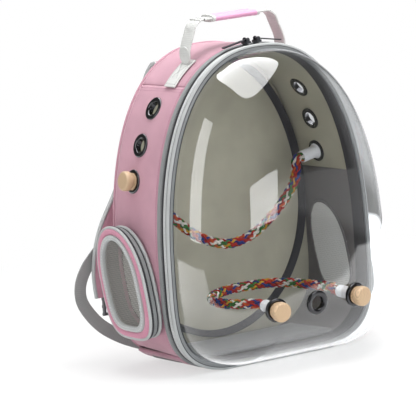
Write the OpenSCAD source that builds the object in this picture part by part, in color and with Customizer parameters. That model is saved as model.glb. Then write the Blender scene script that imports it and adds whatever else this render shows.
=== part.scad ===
// Bird travel carrier: an egg-shaped fabric shell with a clear dome door, two rope perches,
// oval side pods, a top handle and two shoulder straps.
// Frame: X to the right, front towards -Y, Z up, origin in the middle of the flat base.

/* [Body] */
// Widest width of the shell and its zip ring
body_w = 292; // [270:1:320]
// Height of the shell at its crown
body_h = 370; // [340:1:400]
// Depth from the front of the ring to the back face of the shell
body_d = 118; // [108:1:130]
// Height of the widest level of the egg outline
wide_z = 121; // [110:1:135]
// Fullness of the upper half of the outline
egg_top = 2.36; // [2.2:0.02:2.6]
// Fullness of the lower half of the outline
egg_low = 3.98; // [3.4:0.02:4.4]
// How far the outline's lowest point is cut away for the flat base
base_sag = 2.5; // [1.5:0.1:4]
// Inward taper of the fabric wall from the ring to the back edge
wall_taper = 4; // [2:0.5:6]
// Thickness of the padded fabric wall
wall_t = 2.4; // [2:0.1:3]
// Thickness of the cabin lining
lining_t = 0.8; // [0.6:0.1:1.2]
// How far the fabric wall lies inside the ring's outline
wall_inset = 2; // [1.5:0.1:3]

/* [Ring and dome door] */
// Depth of the whole ring, front to back
ring_d = 23; // [21:0.5:26]
// Radial width of the ring
ring_w = 7; // [6:0.2:8]
// Depth of the rounded piping on the body's side of the zip
body_piping_d = 8; // [7:0.2:9]
// Depth of the rounded piping that holds the dome
door_piping_d = 5.6; // [5:0.2:6.4]
// Depth of each row of zip teeth
zip_d = 1.8; // [1.5:0.1:2.2]
// Gap between the two rows of teeth, and of the door all round
door_gap = 0.4; // [0.3:0.05:0.6]
// How far the dome stands in front of the ring
dome_d = 84; // [76:1:94]
// Fullness of the dome's section
dome_full = 2.8; // [2.5:0.05:3.1]
// Wall of the clear dome
dome_wall = 1.5; // [1.2:0.1:2]
// Height of the dome's foremost point
dome_z = 110; // [95:1:125]

/* [Eyelets and perches] */
// Bore of an eyelet
eyelet_bore = 16; // [14:0.5:18]
// Outer diameter of an eyelet's flange
eyelet_flange = 28; // [26:0.5:30]
// Height of the lowest side eyelet, which holds the upper perch
side_eyelet_z = 222; // [215:1:228]
// Height between two side eyelets
side_eyelet_step = 41; // [38:0.5:44]
// Distance of the lowest side eyelet behind the ring's front
side_eyelet_y = 76; // [70:1:80]
// How far each higher side eyelet lies further forward
side_eyelet_lean = 5.5; // [3:0.5:7]
// Drop of the front eyelets below the dome's foremost point
front_eyelet_drop = 34; // [30:1:38]
// Turn of the outer front eyelets along the outline, from the side
front_eyelet_turn = 34; // [31:1:37]
// Diameter of a beech knob
knob_d = 23; // [21:0.5:25]
// Length of a beech knob
knob_l = 13.5; // [12.5:0.5:15]
// Diameter of the steel stud
stud_d = 6; // [5:0.5:7]
// Diameter of a perch ferrule
ferrule_d = 14.4; // [13.8:0.2:15.4]
// Length of a perch ferrule, inside the cabin
ferrule_l = 23; // [21:0.5:25]
// Diameter of the perch rope
rope_d = 12; // [10:0.5:12.5]

/* [Side pods] */
// Width of a pod, front to back
pod_w = 92; // [86:1:94]
// Height of a pod
pod_h = 130; // [120:1:136]
// Height of a pod's middle
pod_z = 108; // [104:1:114]
// Distance of a pod's middle behind the ring's front
pod_y = 71.5; // [70:0.5:72]
// Backward lean of a pod, as a slope
pod_lean = 0.24; // [0.16:0.02:0.24]
// How far a pod stands out from the widest level of the shell
pod_out = 19; // [16:0.5:22]
// Thickness of the pod's door frame
pod_frame_t = 5; // [4:0.2:6]
// Width of the pod door's pink rim
pod_rim_w = 10; // [8:0.5:12]
// Width of the pod door's grey piping
pod_piping_w = 6; // [5:0.5:7]
// How much smaller a pod is at its foot than at its face, all round
pod_flare = 6; // [5:0.5:8]
// Pitch of the net in the pod's window
net_pitch = 6; // [5:0.1:7]
// Width of one strand of the net
net_strand = 1.2; // [1:0.1:1.6]

/* [Handle and zip pulls] */
// Distance between the handle's two feet
handle_span = 136; // [126:1:146]
// Height of the handle above its feet
handle_rise = 49; // [45:1:53]
// Width of the handle's webbing
handle_w = 20; // [18:0.5:22]
// Thickness of the handle's webbing
handle_t = 2.6; // [2.2:0.1:3]
// Length of the padded grip
grip_l = 66; // [60:1:72]
// Thickness of the padded grip
grip_t = 8; // [7:0.5:9]
// Distance of the handle behind the ring's front
handle_y = 50; // [46:1:54]
// Length of a zip pull
pull_l = 34; // [28:1:38]
// Width of a zip pull
pull_w = 5; // [4:0.5:6]

/* [Back and straps] */
// Thickness of the back panel
back_t = 3.4; // [3:0.1:4]
// Crown of the back cushion
back_pad_t = 8; // [6:0.5:10]
// Width of a shoulder pad
pad_w = 46; // [42:1:50]
// Thickness of a shoulder pad
pad_t = 10; // [8:0.5:12]
// Width of the strap webbing
webbing_w = 16; // [14:0.5:18]
// Thickness of the strap webbing
webbing_t = 1.8; // [1.6:0.1:2.2]
// Thickness of the loose floor mat
mat_t = 5; // [4:0.5:6]

/* [Hidden] */

$fn = 48;
egg_n = 72;                       // points round the egg outline
pod_n = 40;                       // points round a pod's outline
touch = 0.05;                     // clearance between two pieces that lie on each other
ring_back = ring_d;
zip_y = ring_d / 2 + 0.5;         // parting plane of the zip
front_y = -(ring_d + body_d) / 2; // front of the ring, so that the base is centred on the origin
lining_o = wall_inset + wall_t + touch;
cabin_o = lining_o + lining_t;
back_y = body_d - back_t;
eyelet_r = eyelet_bore / 2;
flange_r = eyelet_flange / 2;
barrel_r = eyelet_r + 1.2;
hole_r = barrel_r + 0.3;
rim_r = 2.2;                      // thickness of an eyelet's outer flange
washer_t = 1.2;                   // thickness of an eyelet's inner washer
stud_fit = 0.05;                  // radial clearance of a stud in its ferrule
side_stack = wall_t + touch + lining_t + 0.8;
dome_stack = dome_wall + 1.2;
pink = "#cf9bb0";
grey = "#bdc0c0";
dark = "#3c3b40";
khaki = "#96927f";
white = "#e8e9ec";
beech = "#e0be9a";
nickel = "#2b2b2c";

// Routes of the soft pieces, in millimetres behind the ring's front
upper_route = [
  [-97, 73, 195], [-88, 72, 176], [-64, 70, 153], [-37, 70, 138], [-8, 70, 131],
  [22, 70, 136], [48, 70, 150], [74, 70, 171], [92, 72, 191]
];
lower_route = [
  [-60, -34, 79], [-68, -8, 77], [-68, 20, 76], [-54, 50, 76], [-24, 70, 76], [8, 75, 76],
  [38, 70, 76], [58, 48, 76], [64, 20, 76], [66, -8, 77], [60, -34, 79]
];
pad_route = [
  [37, 135, 340], [42, 147, 318], [49, 155, 280], [63, 160, 234], [87, 161, 190],
  [111, 161, 150], [121, 160, 112], [121, 157, 78]
];
webbing_route = [
  [118, 167, 140], [136, 166, 126], [152, 163, 112], [162, 161, 95], [163, 159, 77], [154, 156, 59],
  [140, 152, 43], [121, 146, 30], [102, 138, 21], [88, 126, 16]
];

// ---- formulas -------------------------------------------------------------

function spow(v, p) = sign(v) * pow(abs(v), p);
function fullness(s) = s >= 0 ? egg_top : egg_low;
function egg_reach(s, o) = s >= 0 ? body_h - wide_z - o : wide_z + base_sag - o;
function egg_x(t, o) = (body_w / 2 - o) * spow(cos(t), 2 / fullness(sin(t)));
function egg_z(t, o) =
  max(o, wide_z + egg_reach(sin(t), o) * spow(sin(t), 2 / fullness(sin(t))));
function egg(o, a = 0, b = 360, n = egg_n) =
  [for (i = [0:n - 1]) let (t = a + (b - a) * i / n) [egg_x(t, o), egg_z(t, o)]];
// Half width and outward tilt of the upper outline at a height
function egg_half(z, o) =
  (body_w / 2 - o) * pow(1 - pow((z - wide_z) / (body_h - wide_z - o), egg_top), 1 / egg_top);
function egg_tilt(z, o) = atan2(
  pow((z - wide_z) / (body_h - wide_z - o), egg_top - 1) / (body_h - wide_z - o),
  pow(egg_half(z, o) / (body_w / 2 - o), egg_top - 1) / (body_w / 2 - o)
);
function egg_top_z(x, o) =
  wide_z + (body_h - wide_z - o) * pow(1 - pow(abs(x) / (body_w / 2 - o), egg_top), 1 / egg_top);
function taper_at(y) = wall_taper * (y - ring_back) / (body_d - ring_back);

function unit(v) = v / norm(v);
function dome_ratio(u) = pow(cos(u), 2 / dome_full);
function dome_point(t, u, o) = [
  egg_x(t, o) * dome_ratio(u),
  -(dome_d - (o - ring_w - touch)) * pow(sin(u), 2 / dome_full),
  dome_z + (egg_z(t, o) - dome_z) * dome_ratio(u)
];
dome_o = ring_w + touch;
function dome_turn(i) = 270 + i * (90 - front_eyelet_turn);
function dome_rise(t) =
  acos(pow(front_eyelet_drop / (dome_z - egg_z(t, dome_o)), dome_full / 2));
function dome_normal(t, u) = unit(cross(
  dome_point(t + 1, u, dome_o) - dome_point(t - 1, u, dome_o),
  dome_point(t, u - 1, dome_o) - dome_point(t, u + 1, dome_o)
));
function front_seat(i) = dome_point(dome_turn(i), dome_rise(dome_turn(i)), dome_o);
function front_way(i) =
  let (n = dome_normal(dome_turn(i), dome_rise(dome_turn(i)))) n * (n[1] > 0 ? -1 : 1);

function side_y(k) = side_eyelet_y - k * side_eyelet_lean;
function side_z(k) = side_eyelet_z + k * side_eyelet_step;
function side_o(k) = wall_inset + taper_at(side_y(k));
function side_seat(s, k) = [s * egg_half(side_z(k), side_o(k)), side_y(k), side_z(k)];
function side_way(s, k) = unit([
  s * cos(egg_tilt(side_z(k), side_o(k))),
  wall_taper / (body_d - ring_back),
  sin(egg_tilt(side_z(k), side_o(k)))
]);

// Smooth curve through hand-chosen points
function curve_at(p, i, f) =
  let (a = p[max(i - 1, 0)], b = p[i], c = p[i + 1], d = p[min(i + 2, len(p) - 1)])
  0.5 * (2 * b + (c - a) * f + (2 * a - 5 * b + 4 * c - d) * f * f
    + (3 * b - a - 3 * c + d) * f * f * f);
function curve(p, k) = [
  for (i = [0:len(p) - 2], j = [0:k - 1]) curve_at(p, i, j / k),
  p[len(p) - 1]
];
function way(p, i) = unit(p[min(i + 1, len(p) - 1)] - p[max(i - 1, 0)]);
// Sections of a ribbon: flat side across the hint direction
function ribbon(p, w, t, hint, crown = 0) = [
  for (i = [0:len(p) - 1])
    let (d = way(p, i), a = unit(cross(hint, d)), b = cross(d, a))
    crown > 0
      ? [for (q = cushion_section(w, t, crown)) p[i] + q[0] * a + q[1] * b]
      : [p[i] - w / 2 * a - t / 2 * b, p[i] + w / 2 * a - t / 2 * b,
         p[i] + w / 2 * a + t / 2 * b, p[i] - w / 2 * a + t / 2 * b]
];
function cushion_section(w, t, e) = [
  [-w / 2, -e / 2], [-w / 2 + e, -t / 2 + 0.6], [0, -t / 2], [w / 2 - e, -t / 2 + 0.6], [w / 2, -e / 2],
  [w / 2, e / 2], [w / 2 - e, t / 2 - 0.6], [0, t / 2], [-w / 2 + e, t / 2 - 0.6], [-w / 2, e / 2]
];
function tube(p, r, n, hint) = [
  for (i = [0:len(p) - 1])
    let (d = way(p, i), a = unit(cross(hint, d)), b = cross(d, a))
    [for (j = [0:n - 1]) p[i] + r * (cos(360 * j / n) * a + sin(360 * j / n) * b)]
];

// ---- solids from sections --------------------------------------------------

function sides(m, n, loop) = [
  for (i = [0:m - (loop ? 1 : 2)], j = [0:n - 1])
    let (a = i * n + j, b = i * n + (j + 1) % n, c = ((i + 1) % m) * n + j,
      d = ((i + 1) % m) * n + (j + 1) % n)
    each [[a, d, b], [a, c, d]]
];
// Skin over sections with flat ends
module skin(rows) {
  m = len(rows);
  n = len(rows[0]);
  polyhedron(
    points = [for (r = rows) each r],
    faces = concat(sides(m, n, false), [[for (j = [0:n - 1]) j]],
      [[for (j = [n - 1:-1:0]) (m - 1) * n + j]])
  );
}
// Skin over sections that close on themselves
module ring_skin(rows) {
  polyhedron(points = [for (r = rows) each r], faces = sides(len(rows), len(rows[0]), true));
}
// Skin over loops that close in a point at both ends
module pole_skin(start, rows, finish) {
  m = len(rows);
  n = len(rows[0]);
  polyhedron(
    points = concat([for (r = rows) each r], [start, finish]),
    faces = concat(
      sides(m, n, false),
      [for (j = [0:n - 1]) [m * n, j, (j + 1) % n]],
      [for (j = [0:n - 1]) [m * n + 1, (m - 1) * n + (j + 1) % n, (m - 1) * n + j]]
    )
  );
}

module shell_frame() {
  translate([0, front_y, 0]) children();
}
// Flat-sided band between two offsets of the outline
module egg_band(y0, y1, o0, o1) {
  translate([0, y1, 0]) rotate([90, 0, 0]) linear_extrude(y1 - y0) difference() {
    polygon(egg(o0));
    polygon(egg(o1));
  }
}
module egg_plate(y0, y1, o) {
  translate([0, y1, 0]) rotate([90, 0, 0]) linear_extrude(y1 - y0) polygon(egg(o));
}
// Rounded piping: an outer arc over a flat seat
module egg_piping(y0, y1, o1) {
  r = (y1 - y0) / 2;
  arc = [for (k = [0:4]) [2 - 2 * sin(180 * k / 4), y0 + r - r * cos(180 * k / 4)]];
  section = concat(arc, [[o1, y1], [o1, y0]]);
  ring_skin([
    for (i = [0:egg_n - 1]) let (t = 360 * i / egg_n)
      [for (q = section) [egg_x(t, q[0]), q[1], egg_z(t, q[0])]]
  ]);
}
// Tapered wall between two offsets, over part of the outline
function wall_row(t, o0, o1, y0, y1) = [
  [egg_x(t, o0 + taper_at(y0)), y0, egg_z(t, o0 + taper_at(y0))],
  [egg_x(t, o0 + taper_at(y1)), y1, egg_z(t, o0 + taper_at(y1))],
  [egg_x(t, o1 + taper_at(y1)), y1, egg_z(t, o1 + taper_at(y1))],
  [egg_x(t, o1 + taper_at(y0)), y0, egg_z(t, o1 + taper_at(y0))]
];
module wall_part(a, b, o0, o1, y0, y1) {
  n = round((b - a) * egg_n / 360);
  skin([for (i = [0:n]) wall_row(a + (b - a) * i / n, o0, o1, y0, y1)]);
}
module wall_core(o, y0, y1) {
  skin([
    for (y = [y1, y0])
      [for (q = egg(o + taper_at(y))) [q[0], y, q[1]]]
  ]);
}

// Places a child so that its Z axis points along a direction
module aim(p, n) {
  translate(p) rotate([0, acos(n[2]), atan2(n[1], n[0])]) children();
}
module at_side(s, k) {
  aim(side_seat(s, k), side_way(s, k)) children();
}
module at_front(i) {
  aim(front_seat(i), front_way(i)) children();
}

// ---- eyelets and perches ----------------------------------------------------

// Crimped eyelet: outer flange above the wall, barrel through it, washer inside
module eyelet(stack) {
  rotate_extrude() polygon([
    [eyelet_r, -stack - washer_t], [flange_r - 1, -stack - washer_t], [flange_r - 1, -stack],
    [barrel_r, -stack], [barrel_r, 0.2], [flange_r, 0.2], [flange_r, rim_r - 0.9],
    [flange_r - 1.4, rim_r], [eyelet_r + 1.2, rim_r], [eyelet_r, rim_r - 0.8]
  ]);
}
module knob() {
  seat = rim_r + 0.15;
  difference() {
    rotate_extrude() polygon([
      [0, seat], [eyelet_r + 1.5, seat], [eyelet_r + 1.5, seat + 0.9], [knob_d * 0.32, seat + 2],
      [knob_d * 0.32, seat + 3.2], [knob_d * 0.45, seat + 4.2], [knob_d * 0.5, seat + 6],
      [knob_d * 0.5, seat + knob_l - 3], [knob_d * 0.46, seat + knob_l - 1],
      [knob_d * 0.37, seat + knob_l - 0.2], [0, seat + knob_l]
    ]);
    translate([0, 0, seat - 1]) cylinder(r = stud_d / 2, h = 10);
  }
}
module stud(stack) {
  bottom = -stack - washer_t - 12;
  translate([0, 0, bottom]) cylinder(r = stud_d / 2, h = rim_r + 0.15 + 9 - bottom);
}
module ferrule(stack) {
  top = -stack - washer_t - touch;
  difference() {
    union() {
      translate([0, 0, top - 1.2]) cylinder(r = eyelet_r + 1.2, h = 1.2);
      translate([0, 0, top - ferrule_l]) cylinder(r = ferrule_d / 2, h = ferrule_l - 1);
    }
    translate([0, 0, top - 12.4]) cylinder(r = stud_d / 2 + stud_fit, h = 20);
    translate([0, 0, top - ferrule_l - 1]) cylinder(r = rope_d / 2 + 0.1, h = 5);
  }
}
function socket(stack) = -(stack + washer_t + touch + ferrule_l - 4);
function socket_point(seat, n, stack, back) = seat + n * (socket(stack) - back);

// A perch rope from one ferrule's socket to the other's
module rope(p0, n0, p1, n1, stack, route, k, hint) {
  ends = concat(
    [socket_point(p0, n0, stack, 0), socket_point(p0, n0, stack, 6)],
    curve(concat([socket_point(p0, n0, stack, 12)], route, [socket_point(p1, n1, stack, 12)]), k),
    [socket_point(p1, n1, stack, 6), socket_point(p1, n1, stack, 0)]
  );
  skin(tube(ends, rope_d / 2, 10, hint));
}

// ---- pods ---------------------------------------------------------------------

function pod_point(t, o) =
  let (n = sin(t) >= 0 ? 2.15 : 3.6, v = (pod_h / 2 - o) * spow(sin(t), 2 / n))
  [pod_y + (pod_w / 2 - o) * spow(cos(t), 2 / n) + pod_lean * v, pod_z + v];
function pod_outline(o) = [for (i = [0:pod_n - 1]) pod_point(360 * i / pod_n, o)];
pod_face = body_w / 2 + pod_out;
pod_hinge_z = pod_z - pod_h / 2;
pod_hinge_x = pod_face - pod_frame_t - door_gap / 2;
pod_skin = 3.4;                   // thickness of a pod's padded side wall
module pod_plate(x0, x1, o) {
  translate([x0, 0, 0]) rotate([90, 0, 90]) linear_extrude(x1 - x0) polygon(pod_outline(o));
}
module pod_ring(section) {
  ring_skin([
    for (i = [0:pod_n - 1]) let (t = 360 * i / pod_n)
      [for (q = section) let (p = pod_point(t, q[0])) [q[1], p[0], p[1]]]
  ]);
}
// Gathered side wall of a pod, seated on the shell's curved flank
module pod_wall() {
  x1 = pod_face - pod_frame_t - door_gap;
  x0 = body_w / 2 - 24;
  difference() {
    pod_ring([
      [pod_flare * 1.5 + pod_skin, x0], [pod_flare * 1.5, x0], [pod_flare, body_w / 2], [0.6, x1 - 1.5],
      [1.4, x1], [pod_skin, x1], [pod_skin + 0.6, x1 - 1.5], [pod_flare + pod_skin, body_w / 2]
    ]);
    wall_core(wall_inset - touch, ring_back - 8, body_d + 8);
  }
}
module pod_frame() {
  x0 = pod_face - pod_frame_t;
  pod_ring([
    [pod_rim_w, x0], [0, x0], [0, x0 + pod_frame_t * 0.45], [1.2, x0 + pod_frame_t * 0.8],
    [3.6, pod_face], [pod_rim_w, pod_face]
  ]);
}
module pod_piping() {
  x0 = pod_face - pod_frame_t;
  a = pod_rim_w + touch;
  w = pod_piping_w;
  pod_ring([
    [a + w, x0], [a, x0], [a, pod_face + 0.8], [a + w * 0.3, pod_face + 2], [a + w * 0.7, pod_face + 2],
    [a + w, pod_face + 0.8]
  ]);
}
inner_net_t = 0.8;                // thickness of the net over a pod's opening
inner_net_lap = 4;                // how far that net is sewn over the lining
// Flat net: two sets of strands inside the window
module pod_mesh() {
  x0 = pod_face - pod_frame_t + 1.5;
  o = pod_rim_w + pod_piping_w + 2 * touch;
  intersection() {
    pod_plate(x0 - 2, x0 + 4, o);
    union() {
      for (i = [-ceil(pod_w / net_pitch):ceil(pod_w / net_pitch)])
        translate([x0, pod_y + i * net_pitch - net_strand / 2, pod_z - pod_h / 2])
          cube([net_strand, net_strand, pod_h]);
      for (i = [-ceil(pod_h / net_pitch / 2):ceil(pod_h / net_pitch / 2)])
        translate([x0, pod_y - pod_w, pod_z + i * net_pitch - net_strand / 2])
          cube([net_strand, 2 * pod_w, net_strand]);
    }
  }
}
module pod_opening() {
  pod_plate(body_w / 2 - 60, body_w / 2 + 10, pod_rim_w + pod_piping_w);
}
module right_side(s) {
  if (s > 0) children();
  else mirror([1, 0, 0]) children();
}

// ---- shell -----------------------------------------------------------------

module side_holes() {
  for (k = [0:2])
    at_side(1, k) translate([0, 0, -20]) cylinder(r = hole_r, h = 30);
}
module side_panel(s) {
  right_side(s) difference() {
    wall_part(-45, 55, wall_inset, wall_inset + wall_t, ring_back, back_y);
    side_holes();
    pod_opening();
  }
}
module top_panel() {
  color(pink) shell_frame() wall_part(55, 125, wall_inset, wall_inset + wall_t, ring_back, back_y);
}
module left_panel() {
  color(pink) shell_frame() side_panel(-1);
}
module right_panel() {
  color(pink) shell_frame() side_panel(1);
}
// Stiff base board: a straight run of the outline, flat underneath
module bottom_panel() {
  color(pink) shell_frame() translate([0, back_y, 0]) rotate([90, 0, 0])
    linear_extrude(back_y - ring_back)
      polygon(concat(
        [for (i = [0:18]) let (t = 225 + 5 * i) [egg_x(t, 0), egg_z(t, 0)]],
        [for (i = [18:-1:0]) let (t = 225 + 5 * i)
          [egg_x(t, wall_inset + wall_t), egg_z(t, wall_inset + wall_t)]]
      ));
}
module back_panel() {
  color(pink) shell_frame() egg_plate(back_y, body_d, wall_inset + wall_taper);
}
// Crowned cushion on the back
module back_pad() {
  steps = [[38, 0], [38, 0.55], [42, 0.85], [52, 1]];
  rows = [
    for (q = steps)
      [for (p = egg(q[0], 0, 360, 36)) [p[0], body_d + touch + back_pad_t * q[1], p[1]]]
  ];
  color("#c9a3b0") shell_frame() skin([for (i = [len(rows) - 1:-1:0]) rows[i]]);
}
module lining_ring(a, b) {
  wall_part(a, b, lining_o, cabin_o, ring_back, back_y - touch);
}
module lining_openings() {
  for (s = [-1, 1]) right_side(s) {
    side_holes();
    pod_opening();
  }
}
lining_split = 15;
module upper_lining() {
  color(khaki) shell_frame() difference() {
    lining_ring(lining_split, 180 - lining_split);
    lining_openings();
  }
}
module lower_lining() {
  color("#625e5c") shell_frame() difference() {
    lining_ring(180 - lining_split, 360 + lining_split);
    lining_openings();
  }
}
// Sheets of net over both pod openings, on the cabin's side of the lining
module inner_nets() {
  o0 = cabin_o + touch;
  color("#c4c3be") shell_frame() for (s = [-1, 1]) right_side(s) intersection() {
    wall_part(-45, 25, o0, o0 + inner_net_t, ring_back + 1, back_y - 2 * touch - lining_t);
    pod_plate(body_w / 2 - 60, body_w / 2 + 10, pod_rim_w + pod_piping_w - inner_net_lap);
  }
}
module back_lining() {
  color(khaki) shell_frame()
    egg_plate(back_y - touch - lining_t, back_y - touch, cabin_o + wall_taper + 0.2);
}
// Back binding: its own rounder egg inside the cabin's back edge
function trim_outline(o) = [
  for (i = [0:egg_n - 1]) let (t = 360 * i / egg_n)
    [(body_w / 2 - 12.5 - o) * cos(t),
     wide_z + 44 + (sin(t) >= 0 ? body_h - wide_z - 58 - o : wide_z + 30 - o) * sin(t)]
];
module lining_trim() {
  y1 = back_y - 2 * touch - lining_t;
  color(dark) shell_frame() translate([0, y1, 0]) rotate([90, 0, 0]) linear_extrude(1.6) difference() {
    polygon(trim_outline(0));
    polygon(trim_outline(5));
  }
}
module floor_mat() {
  color("#8b8b89") shell_frame() intersection() {
    egg_plate(ring_back + 4, back_y - 6, cabin_o + wall_taper + 0.3);
    translate([-body_w, 0, 0]) cube([2 * body_w, body_d, cabin_o + wall_taper + 0.3 + mat_t]);
  }
}

// ---- ring ------------------------------------------------------------------

body_tape_y = zip_y + door_gap / 2 + zip_d;
door_tape_y = zip_y - door_gap / 2 - zip_d;
module body_rim() {
  color(grey) shell_frame() egg_piping(ring_back - body_piping_d, ring_back, ring_w);
}
module body_tape() {
  color(grey) shell_frame() egg_band(body_tape_y, ring_back - body_piping_d, 2, ring_w);
}
module body_zip() {
  color(dark) shell_frame() egg_band(zip_y + door_gap / 2, body_tape_y, 1.4, ring_w - 1);
}
module body_binding() {
  color(dark) shell_frame()
    egg_band(zip_y + door_gap / 2, ring_back - touch, ring_w + touch, ring_w + 1.4);
}
module door_rim() {
  color(grey) shell_frame() egg_piping(-1, door_piping_d - 1, ring_w);
}
module door_tape() {
  color("#d4d6d6") shell_frame() egg_band(door_piping_d - 1, door_tape_y, 2, ring_w);
}
module door_zip() {
  color(dark) shell_frame() egg_band(door_tape_y, zip_y - door_gap / 2, 1.4, ring_w - 1);
}
module door_binding() {
  color(dark) shell_frame() egg_band(door_piping_d, zip_y - door_gap / 2, dome_o, ring_w + 1.4);
}
module clear_dome() {
  lip = door_piping_d - touch;
  last = 86;
  turns = [for (i = [0:9]) last * i / 9];
  out_rows = [
    for (u = turns) [for (i = [0:egg_n - 1]) dome_point(360 * i / egg_n, u, dome_o)]
  ];
  in_rows = [
    for (u = turns) [for (i = [0:egg_n - 1]) dome_point(360 * i / egg_n, u, dome_o + dome_wall)]
  ];
  lip_out = [for (p = egg(dome_o)) [p[0], lip, p[1]]];
  lip_in = [for (p = egg(dome_o + dome_wall)) [p[0], lip, p[1]]];
  rows = concat([for (i = [9:-1:0]) in_rows[i]], [lip_in, lip_out], out_rows);
  color([0.86, 0.88, 0.9, 0.35]) shell_frame() difference() {
    pole_skin([0, dome_wall - dome_d, dome_z], rows, [0, -dome_d, dome_z]);
    for (i = [-1:1])
      at_front(i) translate([0, 0, -15]) cylinder(r = hole_r, h = 30);
  }
}

// ---- eyelet and perch nodes --------------------------------------------------

module front_eyelets() {
  color(nickel) shell_frame() for (i = [-1:1]) at_front(i) eyelet(dome_stack);
}
module left_eyelets() {
  color(nickel) shell_frame() for (k = [0:2]) at_side(-1, k) eyelet(side_stack);
}
module right_eyelets() {
  color(nickel) shell_frame() for (k = [0:2]) at_side(1, k) eyelet(side_stack);
}
module upper_left_knob() {
  color(beech) shell_frame() at_side(-1, 0) knob();
}
module upper_right_knob() {
  color(beech) shell_frame() at_side(1, 0) knob();
}
module front_left_knob() {
  color(beech) shell_frame() at_front(-1) knob();
}
module front_right_knob() {
  color(beech) shell_frame() at_front(1) knob();
}
module upper_left_stud() {
  color("silver") shell_frame() at_side(-1, 0) stud(side_stack);
}
module upper_right_stud() {
  color("silver") shell_frame() at_side(1, 0) stud(side_stack);
}
module front_left_stud() {
  color("silver") shell_frame() at_front(-1) stud(dome_stack);
}
module front_right_stud() {
  color("silver") shell_frame() at_front(1) stud(dome_stack);
}
module upper_left_ferrule() {
  color(white) shell_frame() at_side(-1, 0) ferrule(side_stack);
}
module upper_right_ferrule() {
  color(white) shell_frame() at_side(1, 0) ferrule(side_stack);
}
module front_left_ferrule() {
  color(white) shell_frame() at_front(-1) ferrule(dome_stack);
}
module front_right_ferrule() {
  color(white) shell_frame() at_front(1) ferrule(dome_stack);
}
module upper_rope() {
  color("#c8604a") shell_frame() rope(
    side_seat(-1, 0), side_way(-1, 0), side_seat(1, 0), side_way(1, 0), side_stack, upper_route, 2,
    [0, 1, 0]);
}
module lower_rope() {
  color("#c8604a") shell_frame() rope(
    front_seat(-1), front_way(-1), front_seat(1), front_way(1), dome_stack, lower_route, 2,
    [0, 0, 1]);
}

// ---- pod nodes -----------------------------------------------------------------

module left_pod_wall() {
  color(pink) shell_frame() right_side(-1) pod_wall();
}
module right_pod_wall() {
  color(pink) shell_frame() pod_wall();
}
module left_pod_frame() {
  color(pink) shell_frame() right_side(-1) pod_frame();
}
module right_pod_frame() {
  color(pink) shell_frame() pod_frame();
}
module left_pod_piping() {
  color(grey) shell_frame() right_side(-1) pod_piping();
}
module right_pod_piping() {
  color(grey) shell_frame() pod_piping();
}
module left_pod_mesh() {
  color("#8e8b87") shell_frame() right_side(-1) pod_mesh();
}
module right_pod_mesh() {
  color("#8e8b87") shell_frame() pod_mesh();
}

// ---- handle, sliders and pulls -----------------------------------------------

tab_t = 1.4;
handle_foot = egg_top_z(handle_span / 2, wall_inset) + tab_t + 1.2;
handle_pivot = handle_foot + handle_w / 2;
handle_top = handle_foot + handle_rise;
// Webbing arch: upright legs with rounded feet, bent over at the top
module handle_webbing() {
  bend = 16;
  h = handle_top - handle_foot;
  half = handle_span / 2;
  lean = 8;
  pts = concat(
    [[-half, handle_w / 2]],
    [for (k = [0:4]) let (q = 90 * k / 4)
      [-half + lean + bend - bend * cos(q), h - bend + bend * sin(q)]],
    [for (k = [0:4]) let (q = 90 - 90 * k / 4)
      [half - lean - bend + bend * cos(q), h - bend + bend * sin(q)]],
    [[half, handle_w / 2]]
  );
  path = [for (p = pts) [p[0], handle_y, handle_foot + p[1]]];
  color("#dadbd8") shell_frame() {
    skin(ribbon(path, handle_w, handle_t, [1, 0, 0.01]));
    for (s = [-1, 1])
      translate([s * half, handle_y, handle_pivot]) rotate([0, 90, 0])
        translate([0, 0, -handle_t / 2]) cylinder(r = handle_w / 2, h = handle_t);
  }
}
module handle_grip() {
  color("#e8a8cb") shell_frame() difference() {
    skin(ribbon(
      [for (x = [-0.5, -0.46, -0.3, 0, 0.3, 0.46, 0.5]) [x * grip_l, handle_y, handle_top]],
      handle_w + 6, grip_t, [0, 0, 1], 3));
    translate([-grip_l, handle_y - handle_w / 2 - touch, handle_top - handle_t / 2 - touch])
      cube([2 * grip_l, handle_w + 2 * touch, handle_t + 2 * touch]);
  }
}
// Sewn tails that carry the handle's feet
module handle_tabs() {
  color("#dadbd8") shell_frame() intersection() {
    difference() {
      wall_core(wall_inset - tab_t, ring_back - 4, body_d + 4);
      wall_core(wall_inset - touch, ring_back - 8, body_d + 8);
    }
    for (s = [-1, 1])
      translate([s * (handle_span / 2 + 8) - 17, handle_y - handle_w / 2 - 2, body_h / 2])
        cube([34, handle_w + 4, body_h / 2]);
  }
}
slider_x = 7.5;
pull_pin_h = 4.4;                 // height of a pull's pin above the slider's foot
pull_rest = 10;                   // a pull rests on the ring, this far below level
module slider_at(s) {
  translate([s * slider_x, zip_y, egg_top_z(slider_x, 0) + 0.6]) children();
}
module zip_sliders() {
  color("#4a4b4e") shell_frame() for (s = [-1, 1]) slider_at(s) {
    linear_extrude(2.4) polygon([[-4.6, -3.4], [-2.6, -5], [2.6, -5], [4.6, -3.4],
      [4.6, 3.4], [2.6, 5], [-2.6, 5], [-4.6, 3.4]]);
    for (y = [-1, 1])
      translate([0, y * 3.2, pull_pin_h]) rotate([90, 0, 0])
        translate([0, 0, -0.7]) cylinder(r = 2.4, h = 1.4);
    for (y = [-1, 1])
      translate([-2.4, y * 3.2 - 0.7, 0]) cube([4.8, 1.4, pull_pin_h]);
    translate([-3, door_gap, -1.8]) cube([6, 2.4, 1.9]);
  }
}
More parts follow.
